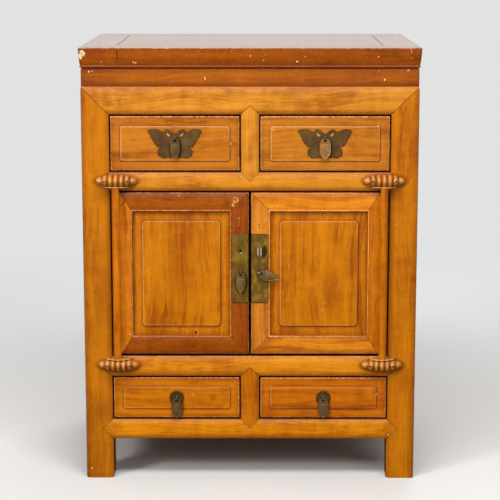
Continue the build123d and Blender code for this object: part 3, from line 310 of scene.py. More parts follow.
def lacquered_wood(
    name, tone, box, grain, seed, marks=(), depth=1.0, bands=1.0, field=None, rubbed_and_lit=0.4,
    face=None, under=0.0, edging=1.0, plane=FRONT_Y,
):
    """Amber lacquer over close-grained wood: clouded body, drawn-out bands and fibres along
    the grain, pores, darker towards the edges, arrises pale partly from handling and partly as
    a painted highlight, nicks and flecks. depth strengthens the clouds, bands the bands,
    rubbed the pale arrises and under the painted shade along the foot. Gaps round doors are
    painted black as shade behind face, and marks lie on the plane, both given as y."""
    finish = Finish(name)
    tone = paint(*tone)
    start = finish.vector("ADD", finish.place, (seed * 1.37, seed * 2.11, seed * 0.73))
    start = finish.wandering(start, grain, 5.0, 0.035)

    def layer(across, along, detail, roughness=0.5):
        return finish.clouds(finish.drawn_out(start, grain, across, along), 1.0, detail, roughness)

    cloud = finish.cloud = layer(17.0, 6.5, 3.0, 0.55)
    curl = layer(26.0, 60.0, 2.0)
    band = layer(75.0, 2.6, 3.0, 0.6)
    fibre = layer(330.0, 9.0, 3.0, 0.7)
    dash = layer(560.0, 42.0, 1.0)
    pore = layer(1500.0, 95.0, 1.0)
    rough = finish.rough = finish.clouds(finish.place, 900.0)
    ragged = finish.ragged = finish.clouds(finish.place, 180.0, 3.0, 0.6)
    finish.light = tinted(tone, 1.24, 1.34, 1.7)
    dark = finish.dark = tinted(tone, 0.62, 0.46, 0.32)

    figure = (cloud - 0.5) * (1.4 * depth) + (band - 0.5) * (1.2 * bands) + 0.5
    figure = figure + (fibre - 0.5) * 1.35 + (curl - 0.5) * 0.6
    finish.colour = finish.blend(figure.rise(0.0, 0.6), dark, tone)
    finish.over(figure.rise(0.48, 1.05) * 0.9, finish.light)
    finish.over(dash.rise(0.6, 0.72) * 0.34, dark)
    finish.shade(pore.rise(0.66, 0.76) * 0.3, 0.6, 0.5, 0.5)

    # Darker towards each member's edges, broken by the ragged clouds.
    edge_darkening = (edge_distance(finish, box) + (ragged - 0.5) * 0.009).fall(0.0, 0.0115)
    finish.shade(edge_darkening * 0.42, 0.72, 0.6, 0.55)
    level = finish.part(finish.place, "Z")
    # Painted shade, darker towards the member's foot.
    if under:
        foot = level.fall(box[0][2] + 0.001, box[0][2] + 0.012)
        finish.shade(foot * under, 0.8, 0.66, 0.5)
    wear_and_shade = finish.wear_and_shade()
    bare_and_lit = wear_and_shade.greater(0.0) * ragged.rise(0.36, 0.66)
    jointed = (wear_and_shade * -1.0).greater(0.0).lesser(1.0)
    mouth = (wear_and_shade * -1.0 - 1.0).greater(0.0)
    fleck = (finish.cells(start, 34.0) + (rough - 0.5) * 0.02).fall(0.012, 0.03)
    fleck = fleck * finish.clouds(start, 23.0, 0.0).rise(0.55, 0.6)
    speck = finish.cells(start, 61.0).fall(0.02, 0.045)
    speck = speck * finish.clouds(start, 41.0, 0.0).rise(0.57, 0.62)
    # Pale arrises: partly from handling, partly a painted highlight.
    finish.over(bare_and_lit * rubbed_and_lit, PALE_WOOD)
    finish.shade(jointed * (0.74 - cloud * 0.7), 0.5, 0.35, 0.3)
    # Painted shade on the carcase's arrises at the mouths of the gaps.
    finish.over(mouth * 0.9, GAP_SHADE)
    finish.over(fleck * 0.55, PALE_WOOD)
    finish.over(speck * 0.55, GRIME)

    finish.height = (fibre - 0.5) * 0.00006 + (cloud - 0.5) * 0.0016 + (curl - 0.5) * 0.00025
    finish.height -= fleck * 0.00025 + bare_and_lit * 0.0001
    finish.shine = 0.26 + (ragged - 0.5) * 0.14 + fleck * 0.3 + bare_and_lit * 0.1
    coat = (1.3 - band * 0.8).lesser(1.0) * level.rise(TOP_Z - 0.001, TOP_Z + 0.001, 0.45, 1.0)
    coat = coat * (1.0 - jointed * 0.95)
    if field:
        draw_field(finish, field, edging)
    # Painted shade: inside the gaps round doors and drawers, just behind the face, the wood is
    # painted black.
    if face is not None:
        deep = finish.part(finish.place, "Y")
        aside = finish.part(finish.place, "X").size()
        gap = deep.rise(face + 0.0004, face + 0.0026) * deep.fall(face + 0.009, face + 0.015)
        gap = gap * aside.fall(OPENING_X - 0.0004, OPENING_X + 0.0004)
        finish.over(gap * 0.9, GAP_SHADE)
        finish.shine += gap * 0.6
        coat = coat * (1.0 - gap)
    for mark in marks:
        leave_mark(finish, plane, *mark)
    others = {"Specular IOR Level": 0.25, "Coat Weight": coat, "Coat Roughness": 0.1}
    return finish.surface(finish.shine, finish.height, others)


def mode(name):
    bpy.ops.object.mode_set(mode=name)


def modified(piece, kind, **settings):
    """Adds a modifier to the active piece and applies it at once."""
    modifier = piece.modifiers.new(kind, kind)
    for key, setting in settings.items():
        setattr(modifier, key, setting)
    bpy.ops.object.modifier_apply(modifier=modifier.name)


def only(piece):
    """Selects one piece and nothing else."""
    bpy.ops.object.select_all(action="DESELECT")
    piece.select_set(True)
    bpy.context.view_layer.objects.active = piece


def pick(piece, kind, wanted):
    """Selects just those vertices, edges or faces of a piece in edit mode that are wanted."""
    bpy.ops.mesh.select_all(action="DESELECT")
    shape = bmesh.from_edit_mesh(piece.data)
    for element in getattr(shape, kind):
        if wanted(element):
            element.select = True
    bmesh.update_edit_mesh(piece.data)


def opened(node, name):
    """A copy of a CAD piece in edit mode, welded, with its flat faces whole again."""
    piece = bpy.data.objects.new(name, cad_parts[node].data.copy())
    scene.collection.objects.link(piece)
    only(piece)
    bpy.context.tool_settings.mesh_select_mode = (False, True, False)
    mode("EDIT")
    bpy.ops.mesh.select_all(action="SELECT")
    bpy.ops.mesh.customdata_custom_splitnormals_clear()
    bpy.ops.mesh.remove_doubles(threshold=0.00001)
    bpy.ops.mesh.dissolve_limited(angle_limit=math.radians(0.3))
    return piece


def finished(piece, finish, body):
    """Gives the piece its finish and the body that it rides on."""
    piece.data.materials.clear()
    piece.data.materials.append(finish)
    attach(piece, body)


def dressed(node, finish):
    """Gives a CAD piece that is kept as it is its finish."""
    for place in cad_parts[node].material_slots:
        place.material = finish


SMALL_PARTS = ("_pin", "_pull", "_plate", "_staple", "_pegs", "_blocks")
wood_nodes = [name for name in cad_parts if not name.endswith(SMALL_PARTS)]


def neighbours_of(node):
    """Search tree of all the other wooden pieces, as they stand at rest."""
    corners, faces = [], []
    for name in wood_nodes:
        if name != node:
            mesh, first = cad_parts[name].data, len(corners)
            corners += [vertex.co.copy() for vertex in mesh.vertices]
            faces += [[first + i for i in face.vertices] for face in mesh.polygons]
    return BVHTree.FromPolygons(corners, faces)


def eased(
    node, ease, finish, body="carcase", skin=0.0035, shortest=0.003, rim=0.0
):
    """A CAD piece whose outer arrises, within skin of its box, are eased: free ones painted pale,
    partly from handling and partly as a painted highlight, those at joints grimy, and those of
    the carcase round a door or a drawer marked for painted shade."""
    piece = opened(node, f"{node}_eased")
    shape = bmesh.from_edit_mesh(piece.data)
    low = [min(v.co[i] for v in shape.verts) + skin for i in range(3)]
    high = [max(v.co[i] for v in shape.verts) - skin for i in range(3)]

    def outer(face):
        middle, normal = face.calc_center_median(), face.normal
        return any(
            (normal[i] < -0.93 and middle[i] < low[i]) or (normal[i] > 0.93 and middle[i] > high[i])
            for i in range(3)
        )

    def sharp(edge):
        return (
            len(edge.link_faces) == 2
            and edge.calc_length() >= shortest
            and edge.calc_face_angle_signed() >= math.radians(40)
            and any(outer(face) for face in edge.link_faces)
        )

    pick(piece, "edges", sharp)
    bpy.ops.mesh.bevel(offset=ease, segments=3, clamp_overlap=False)
    mode("OBJECT")
    beside = neighbours_of(node)
    wear_and_shade = piece.data.attributes.new("wear_and_shade", "FLOAT", "FACE")
    for face in piece.data.polygons:
        if face.select and face.area < 30 * ease**2 + ease * 2.0:
            gap = beside.find_nearest(face.center)[3]
            if gap < ease + 0.0004:
                wear_and_shade.data[face.index].value = JOINT
            else:
                # An arris of the carcase at a gap is marked for painted shade.
                open_gap = body == "carcase" and gap < 0.0045
                wear_and_shade.data[face.index].value = MOUTH if open_gap else ARRIS
    bpy.ops.object.shade_smooth_by_angle(angle=math.radians(38))
    if rim:
        mode("EDIT")
        bpy.ops.mesh.select_mode(type="FACE")
        pick(piece, "faces", lambda face: face.normal.y < -0.99)
        bpy.ops.mesh.inset(thickness=rim)
        bpy.ops.mesh.select_all(action="INVERT")
        mode("OBJECT")
        for face in piece.data.polygons:
            if face.select and face.normal.y < -0.99:
                piece.data.attributes["wear_and_shade"].data[face.index].value = RIM
    modified(piece, "WEIGHTED_NORMAL", keep_sharp=True)
    finished(piece, finish, body)
    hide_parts(node)


EDGE_DROP = 0.0026  # how far the rounded faces fall back at their arrises
# Painted shadow: a dark oval round each knuckle block on the posts and rails.
SHADOW_HALOS = [("shadow_halo", x, z, 40.2, 2.9) for x in (-245, 247.5) for z in (569, 220.5)]
# The lightened strips down the front posts are painted light: over the inner half of the left post,
# and on the right post where the roll's shadow falls.
posts = {
    "post_front_left": [
        (182, 105, 4),
        ("lightened", -270, 440, 21, 0.05), ("knot", -288.5, 361, 4.5), ("chip", -299.5, 19, 2.6),
        ("stain", -283, 135, 30), ("stain", -272, 540, 16),
    ],
    "post_front_right": [
        (187, 107, 3),
        ("lightened", 263, 395, 12, 0.03), ("stain", 272.5, 540, 13), ("chip", 270, 487, 2.2),
        ("stain", 291, 190, 20), ("scratch", 265.5, 46, 1.8),
    ],
    "post_rear_left": [(190, 104, 16)],
    "post_rear_right": [(192, 106, 17)],
}
for seed, (node, (tone, *marks)) in enumerate(posts.items()):
    low, high = box_of(node, 0.05)
    face = None
    if node.endswith("left"):
        low[0] += EDGE_DROP
    else:
        high[0] -= EDGE_DROP
    if "rear" in node:
        high[1] -= EDGE_DROP
    else:
        low[1] += EDGE_DROP
        face = low[1]
    finish = lacquered_wood(
        node, tone, (low, high), 2, 3.1 + seed, SHADOW_HALOS + marks, bands=0.9, rubbed_and_lit=0.18, face=face
    )
    eased(node, 0.0009, finish)


# ---- Front rails and centre stiles ----
# Rails of the same hardwood across the front: the top one mitred into the posts, the others
# let into them with pointed ends over hidden tenons, and two short stiles pointed into the
# rails between the drawers. Faces are planed round, so each catches light along its top.
rails = {
    "front_top_rail": [(199, 126, 31), 0.31, ("stain", -200, 728, 20)],
    "front_middle_rail": [(201, 125, 28), 0.258, ("stain", 30, 556, 12)],
    "front_lower_rail": [(214, 131, 17), 0.258, ("chip", -36, 221.5, 1.8)],
    "front_bottom_rail": [
        (213, 129, 6), 0.258,
        ("knot", 253, 96, 6), ("stain", -246, 100, 12), ("stain", 180, 101, 10, 2.5, -17.2),
        ("stain", 244, 93, 12, 2, 11.5), ("chip", 261, 85, 2.2),
    ],
}
for seed, (node, (tone, reach, *marks)) in enumerate(rails.items()):
    low, high = box_of(node)
    low[1] += EDGE_DROP
    low[0], high[0] = -reach, reach
    # under lays painted shade along each rail's foot.
    finish = lacquered_wood(
        node, tone, (low, high), 0, 11.3 + seed, SHADOW_HALOS + marks, bands=0.7, face=low[1], under=0.5
    )
    eased(node, 0.0012, finish)
stiles = {
    "upper_centre_stile": [
        (208, 134, 36),
        ("crack", 6.2, 707.5, 1.1, 0.13, -45), ("stain", 1, 580, 10),
    ],
    "lower_centre_stile": [(195, 109, 3)],
}
for seed, (node, (tone, *marks)) in enumerate(stiles.items()):
    low, high = box_of(node, 0.02)
    low[1] += EDGE_DROP
    box = (low, high)
    finish = lacquered_wood(node, tone, box, 2, 19.7 + seed, marks, bands=0.8, face=low[1])
    eased(node, 0.0008, finish)


# ---- Sides and back ----
# Both sides and the back are framed like the front: four rails each, with thin floating
# panels in their grooves. The side panels are lacquered, and the back panels are left
# nearly bare, because they stand against a wall.
def bare_wood(name, tone, grain, seed, dusty=0.35):
    """Unlacquered softwood gone brown with age: wide growth bands, dull and dusty."""
    finish = Finish(name)
    tone = paint(*tone)
    start = finish.vector("ADD", finish.place, (seed * 0.7, seed * 1.9, seed))
    start = finish.wandering(start, grain, 4.0, 0.05)
    growth, fibre, cloud = (
        finish.clouds(finish.drawn_out(start, grain, across, along), 1.0, 3.0, 0.6)
        for across, along in ((60.0, 1.8), (600.0, 14.0), (9.0, 4.0))
    )
    finish.colour = finish.blend(growth.rise(0.35, 0.65), tone, tinted(tone, 0.66, 0.56, 0.46))
    finish.over(fibre.rise(0.45, 0.75) * 0.45, tinted(tone, 0.5, 0.4, 0.3))
    finish.over(cloud.rise(0.4, 0.7) * dusty, paint(172, 136, 98))
    height = (fibre - 0.5) * 0.00022 + (growth - 0.5) * 0.0003
    return finish.surface(0.72 + (cloud - 0.5) * 0.3, height, {"Specular IOR Level": 0.25})


open_box = ([-9.0, -9.0, -9.0], [9.0, 9.0, 9.0])
finish = lacquered_wood("side_rail_lacquer", (204, 116, 22), open_box, 1, 23.0, bands=0.8)
eased("side_rails", 0.0007, finish)
finish = lacquered_wood("rear_rail_lacquer", (186, 104, 24), open_box, 0, 24.0, bands=0.8)
eased("rear_rails", 0.0007, finish)
box = box_of("side_panels")
finish = lacquered_wood("side_panel_lacquer", (196, 110, 18), box, 2, 25.0, (), 1.2, 1.5)
dressed("side_panels", finish)
dressed("rear_panels", bare_wood("rear_panel_wood", (158, 104, 58), 2, 26.0))


# ---- Boards and drawer guides inside ----
# Three sawn boards lie in grooves inside the carcase, under each row of drawers and as the
# cupboard's floor, with planed strips nailed on them as guides. None was ever lacquered.
dressed("interior_boards", bare_wood("board_wood", (170, 118, 68), 0, 31.0))
dressed("drawer_guides", bare_wood("guide_wood", (150, 100, 56), 1, 32.0))


# ---- Waist and top ----
# Four waist boards stand on the top rails, mitred at the corners. On them lies the top: a
# mitred frame with a rounded fascia and a small bead at its foot, round a floating panel
# with two battens under it. The fascia is stained redder than the rest and is well knocked.
marks = [
    ("chip", -81.5, 756, 2.2, 0.4, 17.2), ("chip", 245, 754, 1.8, 0.4), ("chip", -293, 769, 2.4),
    ("chip", -287, 769.5, 1.6), ("scratch", 235, 770, 2), ("chip", 288, 771.5, 2.6),
]
box = box_of("waist_boards")
# under lays painted shade along the waist's foot.
finish = lacquered_wood(
    "waist_lacquer", (153, 78, 3), box, 0, 37.0, marks, 1.3, 1.7, under=0.45, plane=-0.217
)
eased("waist_boards", 0.0005, finish)
# The two long stains low on the fascia are painted shade, where it slopes back and faces a little
# down.
top_marks = {
    "top_frame_front": [
        ("stain", -100, 780, 300, 20), ("stain", 140, 779.5, 300, 20), ("stain", -290, 804, 40, 3),
        ("chip", -303.5, 802.5, 10.4, 1.6, -50), ("chip", -308.5, 797, 5.8, 0.6),
        ("chip", -211.5, 786, 3, 2, -50), ("chip", -207.5, 785, 2.2),
        ("chip", -270, 786.5, 2.4, 2.2, 40), ("crack", -241, 800, 1.4, 0.1, 1.1),
        ("stain", -241.2, 788.5, 3.5), ("scratch", 292.6, 806, 1.2, 0.14),
        ("scratch", 294, 793, 1, 0.3, 5.7), ("chip", -93, 806, 2.2, 2, 11.5),
        ("chip", -33, 806, 2, 2, 11.5), ("scratch", 27, 800, 2), ("chip", 1, 797.5, 1.8),
        ("chip", 25, 789.5, 1.7), ("chip", 86, 787, 2.6), ("chip", 233, 796, 1.6),
        ("scratch", 100, 796.5, 1.2, 0.2, 51.6), ("chip", -150, 811.5, 3.4, 3),
        ("chip", 93, 811.5, 3, 3), ("chip", 165, 811.5, 3, 3),
    ],
    "top_frame_left": [
        ("chip", -312, 803, 10), ("chip", -311, 810, 3, 1, 0, 20),
    ],
}
for seed, side in enumerate(("front", "rear", "left", "right")):
    node = f"top_frame_{side}"
    grain = 0 if side in ("front", "rear") else 1
    tone = (160, 82, 22) if grain else (144, 70, 3)
    marks = top_marks.get(node, ())
    finish = lacquered_wood(node, tone, box_of(node), grain, 41.0 + seed, marks, plane=-0.22)
    eased(node, 0.0012, finish)
finish = lacquered_wood("top_panel_lacquer", (166, 84, 20), box_of("top_panel"), 0, 46.0)
eased("top_panel", 0.001, finish)
dressed("top_battens", bare_wood("batten_wood", (150, 102, 58), 1, 47.0))


# ---- Knuckle blocks ----
# Four blocks carved as a row of seven melon lobes, pointed at the ends, with a thin flat lip
# on the side that faces the door. Each is bored for the door's pivot and held to the rail
# and the post by two dark wooden pegs sunk a little below the lobes.
BLOCK_X = 0.246
BACK_Y = FRONT_Y + 0.0025
BORE_PLACE = (0.247, -0.227)
PEG_PLACES = (0.225, 0.267)
HALF_ROW = ((0.0102, 0.0079, 0.97), (0.02, 0.0078, 0.83), (0.029, 0.0092, 0.56))
LOBES = [(side * x, wide, share) for side in (-1, 1) for x, wide, share in HALF_ROW]
LOBES.append((0.0, 0.0079, 1.0))
GROOVES = (0.005, 0.0149, 0.0252)
VOXEL = 0.0006


def carve_block(name, face_z, way):
    """Right-hand block: lobes and core melted together, flattened, bored and pegged."""
    bpy.ops.mesh.primitive_uv_sphere_add(
        segments=48,
        ring_count=32,
        location=(BLOCK_X, FRONT_Y, face_z + way * 0.0112),
        scale=(0.0376, 0.0165, 0.0108),
    )
    block = bpy.context.object
    block.name = name
    bpy.ops.object.transform_apply()
    mode("EDIT")
    for along, wide, share in LOBES:
        bpy.ops.mesh.primitive_uv_sphere_add(
            segments=32,
            ring_count=24,
                location=(BLOCK_X + along, FRONT_Y, face_z + way * 0.0122),
            rotation=(0.0, way * along * 4.0, 0.0),
            scale=(wide, 0.02 * share, 0.0126 * share),
        )
    mode("OBJECT")
    modified(block, "REMESH", mode="VOXEL", voxel_size=VOXEL)
    modified(block, "SMOOTH", factor=0.5, iterations=2)
    bpy.ops.mesh.primitive_cube_add(
        size=1.0,
        location=(BLOCK_X, BACK_Y - 0.02, face_z + way * 0.0208),
        scale=(0.12, 0.04, 0.04),
    )
    cut(block, bpy.context.object, "INTERSECT")
    lip = add_lip(face_z, way)
    for piece in (block, lip):
        drill(piece, (*BORE_PLACE, face_z + way * 0.0065), 0.00506, 0.0155)
    for x in PEG_PLACES:
        place = (x, FRONT_Y - 0.0085, face_z + way * 0.0125)
        drill(block, place, 0.0019, 0.023, (math.pi / 2, 0.0, 0.0))
    only(block)
    lip.select_set(True)
    bpy.ops.object.join()
    bpy.ops.object.shade_smooth_by_angle(angle=math.radians(40))
    return block


def add_lip(face_z, way):
    """Half-oval lip along the block's flat side, its rim rounded."""
    bpy.ops.mesh.primitive_cylinder_add(
        vertices=64,
        depth=1.0,
        location=(BLOCK_X, FRONT_Y, face_z + way * 0.00085),
        scale=(0.0245, 0.016, 0.0017),
    )
    lip = bpy.context.object
    bpy.ops.object.transform_apply()
    mode("EDIT")
    bpy.ops.mesh.select_all(action="SELECT")
    back, away = (0.0, BACK_Y, 0.0), (0.0, 1.0, 0.0)
    bpy.ops.mesh.bisect(plane_co=back, plane_no=away, use_fill=True, clear_outer=True)

    def on_rim(edge):
        first, second = edge.verts
        level = abs(first.co.z - second.co.z) < 1e-6
        return level and edge.calc_face_angle(0.0) > math.radians(60) and edge.calc_length() < 0.02

    pick(lip, "edges", on_rim)
    bpy.ops.mesh.bevel(offset=0.0006, segments=3)
    mode("OBJECT")
    return lip


def drill(piece, place, radius, depth, turn=(0.0, 0.0, 0.0)):
    """Bores one round hole."""
    bpy.ops.mesh.primitive_cylinder_add(
        vertices=32, radius=radius, depth=depth, location=place, rotation=turn
    )
    cut(piece, bpy.context.object, "DIFFERENCE")


def cut(piece, tool, operation):
    """Takes the tool's shape from a closed piece, or keeps only what is inside it."""
    only(piece)
    modified(piece, "BOOLEAN", operation=operation, solver="MANIFOLD", object=tool)
    bpy.data.objects.remove(tool)


def carved_lacquer():
    """Lacquer on carving: dark in the grooves, part pooled lacquer and part painted shade, paler
    on the crowns, part from handling and part painted highlight, and painted dark as shade
    where the block meets the post.
    """
    finish = Finish("knuckle_lacquer")
    crest = finish.node("NewGeometry", output="Pointiness")
    cloud = finish.clouds(finish.place, 90.0, 3.0, 0.6)
    fine = finish.clouds(finish.place, 700.0)
    tone = paint(178, 104, 24)
    along = (finish.part(finish.place, "X").size() - BLOCK_X).size() + (fine - 0.5) * 0.001
    first, second, third = ((along - groove).size() for groove in GROOVES)
    apart = first.lesser(second).lesser(third)
    groove = apart.fall(0.0000, 0.0014).greater((crest + (cloud - 0.5) * 0.02).fall(0.474, 0.5))
    crown = apart.rise(0.002, 0.0046) * 0.5 + (crest + (cloud - 0.5) * 0.03).rise(0.504, 0.53)
    finish.colour = finish.blend(cloud.rise(0.3, 0.7), tinted(tone, 0.78, 0.66, 0.5), tone)
    finish.over(groove * 0.8, paint(76, 32, 8))
    finish.over(crown * 0.52, paint(232, 172, 84))
    finish.over(fine.rise(0.66, 0.74) * 0.35, paint(96, 40, 10))
    # Painted shade where the block's back meets the post and the rail.
    deep = finish.part(finish.place, "Y").rise(FRONT_Y - 0.007, FRONT_Y)
    finish.over(deep * 0.7, paint(66, 26, 6))
    shine = 0.22 + groove * 0.25 + (fine - 0.5) * 0.12
    height = (cloud - 0.5) * 0.0005 + (fine - 0.5) * 0.00006
    coat = {"Coat Weight": 0.8 - groove * 0.7, "Coat Roughness": 0.12}
    return finish.surface(shine, height, {"Specular IOR Level": 0.5, **coat})


knuckle_finish = carved_lacquer()
for level, face_z, way in (("upper", 0.557, 1), ("lower", 0.234, -1)):
    right = carve_block(f"{level}_right_knuckle_block", face_z, way)
    left = right.copy()
    left.data = right.data.copy()
    left.name = f"{level}_left_knuckle_block"
    scene.collection.objects.link(left)
    only(left)
    bpy.ops.transform.mirror(constraint_axis=(True, False, False), center_override=(0, 0, 0))
    bpy.ops.object.transform_apply()
    mode("EDIT")
    bpy.ops.mesh.select_all(action="SELECT")
    bpy.ops.mesh.normals_make_consistent(inside=False)
    mode("OBJECT")
    for piece in (right, left):
        finished(piece, knuckle_finish, "carcase")
        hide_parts("pivot_blocks")
finish = Finish("peg_wood")
pips = finish.clouds(finish.place, 1300.0)
finish.colour = finish.blend(pips.rise(0.4, 0.65), paint(58, 26, 8), paint(24, 10, 4))
height = (pips - 0.5) * 0.0002
peg_wood = finish.surface(0.8 + (pips - 0.5) * 0.3, height, {"Specular IOR Level": 0.1})
dressed("pivot_block_pegs", peg_wood)


# ---- Drawers ----
# Four drawers run on the boards. Each front has a raised field with round corners and takes
# the half-blind dovetails of a thin softwood box, which was never lacquered.
DRAWER_Y = -0.217
FIELD_MARGIN = 0.0175
# The halos round the disc plates and leaf pulls of the lower drawers are painted shadows.
drawers = {
    "upper_left": [
        (176, 101, 19),
        ("lightened", -137.5, 597, 120, 9), ("plug", -146.4, 675.5, 3.8),
        ("clean", -148.7, 653.8, 6, 2.2, -46), ("clean", -126.3, 653.8, 6, 2.2, 46),
        ("stain", -84.1, 631.3, 12, 3, 8.6), ("stain", -215, 644, 10, 3), ("knot", -33, 638.7, 5),
        ("scratch", -35.2, 637.5, 2.4, 0.4),
    ],
    "upper_right": [
        (180, 106, 23),
        ("lightened", 137.5, 597, 120, 9), ("clean", 126.3, 653.8, 6, 2.2, -46),
        ("clean", 148.7, 653.8, 6, 2.2, 46), ("scratch", 43, 663, 2, 0.4, 45.8),
        ("chip", 234.5, 670, 1.8), ("stain", 190, 625, 20, 3, 5.7),
    ],
    "lower_left": [
        (190, 105, 3),
        ("shadow_halo", -137.4, 156.6, 13.6), ("shadow_halo", -136, 137, 11.2, 0.55), ("knot", -69.5, 157.6, 8.5),
        ("stain", -105, 186, 13, 2, 22.9), ("stain", -58, 140, 13, 2, 17.2),
        ("scratch", -106, 164, 1.6, 0.25, 40.1),
    ],
    "lower_right": [
        (191, 102, 3),
        ("shadow_halo", 138.1, 156.6, 13.6), ("shadow_halo", 139.5, 137, 11.2, 0.55), ("knot", 236, 170, 8),
        ("chip", 238.5, 164.5, 4.2, 2.2, 28.6), ("chip", 243, 166.8, 2.2, 2.2, 28.6),
        ("knot", 22.5, 166.3, 5.2), ("stain", 205, 165, 14), ("scratch", 170, 190, 0.8, 0.15),
    ],
}
for seed, (drawer, (tone, *marks)) in enumerate(drawers.items()):
    low, high = box_of(f"{drawer}_drawer_front")
    low[1] = DRAWER_Y
    across = (low[0] + FIELD_MARGIN, high[0] - FIELD_MARGIN)
    field = (*across, low[2] + FIELD_MARGIN, high[2] - FIELD_MARGIN, 0.005)
    edging = 0.75 if drawer.startswith("upper") else 0.35
    finish = lacquered_wood(
        f"{drawer}_drawer_lacquer", tone, (low, high), 0, 53.0 + seed, marks,
        1.2, 1.8, field, rubbed_and_lit=0.65, face=DRAWER_Y, edging=edging, plane=DRAWER_Y,
    )
    eased(f"{drawer}_drawer_front", 0.0015, finish, f"{drawer}_drawer")
    box_wood = bare_wood(f"{drawer}_box_wood", (188, 138, 86), 1, 57.0 + seed, 0.2)
    dressed(f"{drawer}_drawer_box", box_wood)


# ---- Doors ----
# Two mitred frames, each with a floating panel that has a raised field. The hanging stile
# is worked from one piece with the round post that turns in the knuckle blocks. Part of the
# left door was repaired in a redder wood, and the right lock stile has faded pinkish.
DOOR_DROP = 0.0012
PANEL_TONGUE = 0.006
DOOR_FIELD = (0.0545, 0.20025, 0.2945, 0.494, 0.008)
doors = {
    "left_door_hanging_stile": [
        (205, 116, 12),
        ("crack", -233.5, 527, 1, 0.06, -45), ("chip", -219, 330, 1.6), ("chip", -224, 279, 2),
    ],
    "left_door_lock_stile": [
        (147, 68, 6),
        ("scratch", -20.5, 499, 1.2, 0.3, 5.7), ("chip", -19, 492, 1.4), ("chip", -21.5, 485, 1.2),
        ("scratch", -11, 538, 1.2, 0.25, 40.1),
    ],
    "left_door_rails": [
        (150, 73, 3),
        ("scuff", -26.5, 533.5, 5.2), ("scuff", -30, 524.5, 3.6), ("stain", -43, 527, 10, 0.7),
        ("chip", -50, 530, 1.4), ("chip", -131.5, 541.5, 1.4), ("stain", -187, 255, 10),
        ("stain", -130, 256, 110, 6), ("stain", -114, 260, 16), ("hole", -144, 512, 2.2, 3),
    ],
    "left_door_panel": [
        (190, 109, 3),
        ("hole", -101, 281.2, 3, 1, 22.9), ("chip", -96.5, 280, 2.2, 2, 63),
        ("chip", -203, 295.5, 2.6, 1.5, 34.4), ("chip", -201, 290, 1.8),
        ("stain", -130, 400, 26, 0.25), ("chip", -209, 364, 1.4), ("chip", -207.5, 435, 1.2),
    ],
    "right_door_hanging_stile": [(192, 109, 3)],
    "right_door_lock_stile": [
        (199, 120, 30),
        ("hole", 16.6, 487.5, 1.5), ("hole", 16.8, 481.8, 1.4), ("stain", 12, 535, 10),
        ("scratch", 13, 327, 1.4, 2, 17.2),
    ],
    "right_door_rails": [
        (208, 123, 20),
        ("stain", 42, 538, 14), ("stain", 30, 263, 12), ("chip", 31, 269, 1.6, 1.6, 40.1),
        ("stain", 90, 248, 6),
    ],
    "right_door_panel": [
        (190, 109, 3),
        ("plug", 137.3, 503.3, 3.8), ("chip", 138.5, 339.4, 8, 7, -41.3),
        ("chip", 134.5, 325, 4.8, 7, 41.3), ("stain", 150, 355, 20, 0.35),
        ("stain", 95, 500, 22, 2), ("stain", 85, 285, 16), ("scratch", 72, 409, 1.6, 0.2, 17.2),
    ],
}
for seed, (node, (tone, *marks)) in enumerate(doors.items()):
    door = node[: node.index("_door") + 5]
    low, high = box_of(node)
    if node.endswith("panel"):
        low = [low[0] + PANEL_TONGUE, low[1] + 0.003, low[2] + PANEL_TONGUE]
        high = [high[0] - PANEL_TONGUE, high[1], high[2] - PANEL_TONGUE]
        x0, x1, *rest = DOOR_FIELD
        field = (-x1, -x0, *rest) if door == "left_door" else DOOR_FIELD
        figure = {"depth": 0.8, "bands": 1.6, "field": field, "plane": -0.213}
    else:
        low[1] = FRONT_Y + DOOR_DROP
        figure = {"depth": 1.2, "bands": 1.3, "face": low[1]}
    grain = 0 if node.endswith("rails") else 2
    finish = lacquered_wood(
        f"{node}_lacquer", tone, (low, high), grain, 63.0 + seed * 1.3, marks,
        rubbed_and_lit=0.5, edging=0.5, **figure,
    )
    skin = 0.019 if node.endswith("hanging_stile") else 0.0035
    eased(node, 0.0009, finish, door, skin=skin)


# ---- Beads round the door panels ----
# A narrow round bead is worked on the inner edge of each door frame, mitred at the corners.
# It stands a little proud of the frame and is painted pale along its crest, partly from use and
# partly as a painted highlight.
PANEL_OPENING = (0.037, 0.21775, 0.2765, 0.512)
BEAD_WIDTH = 0.0026


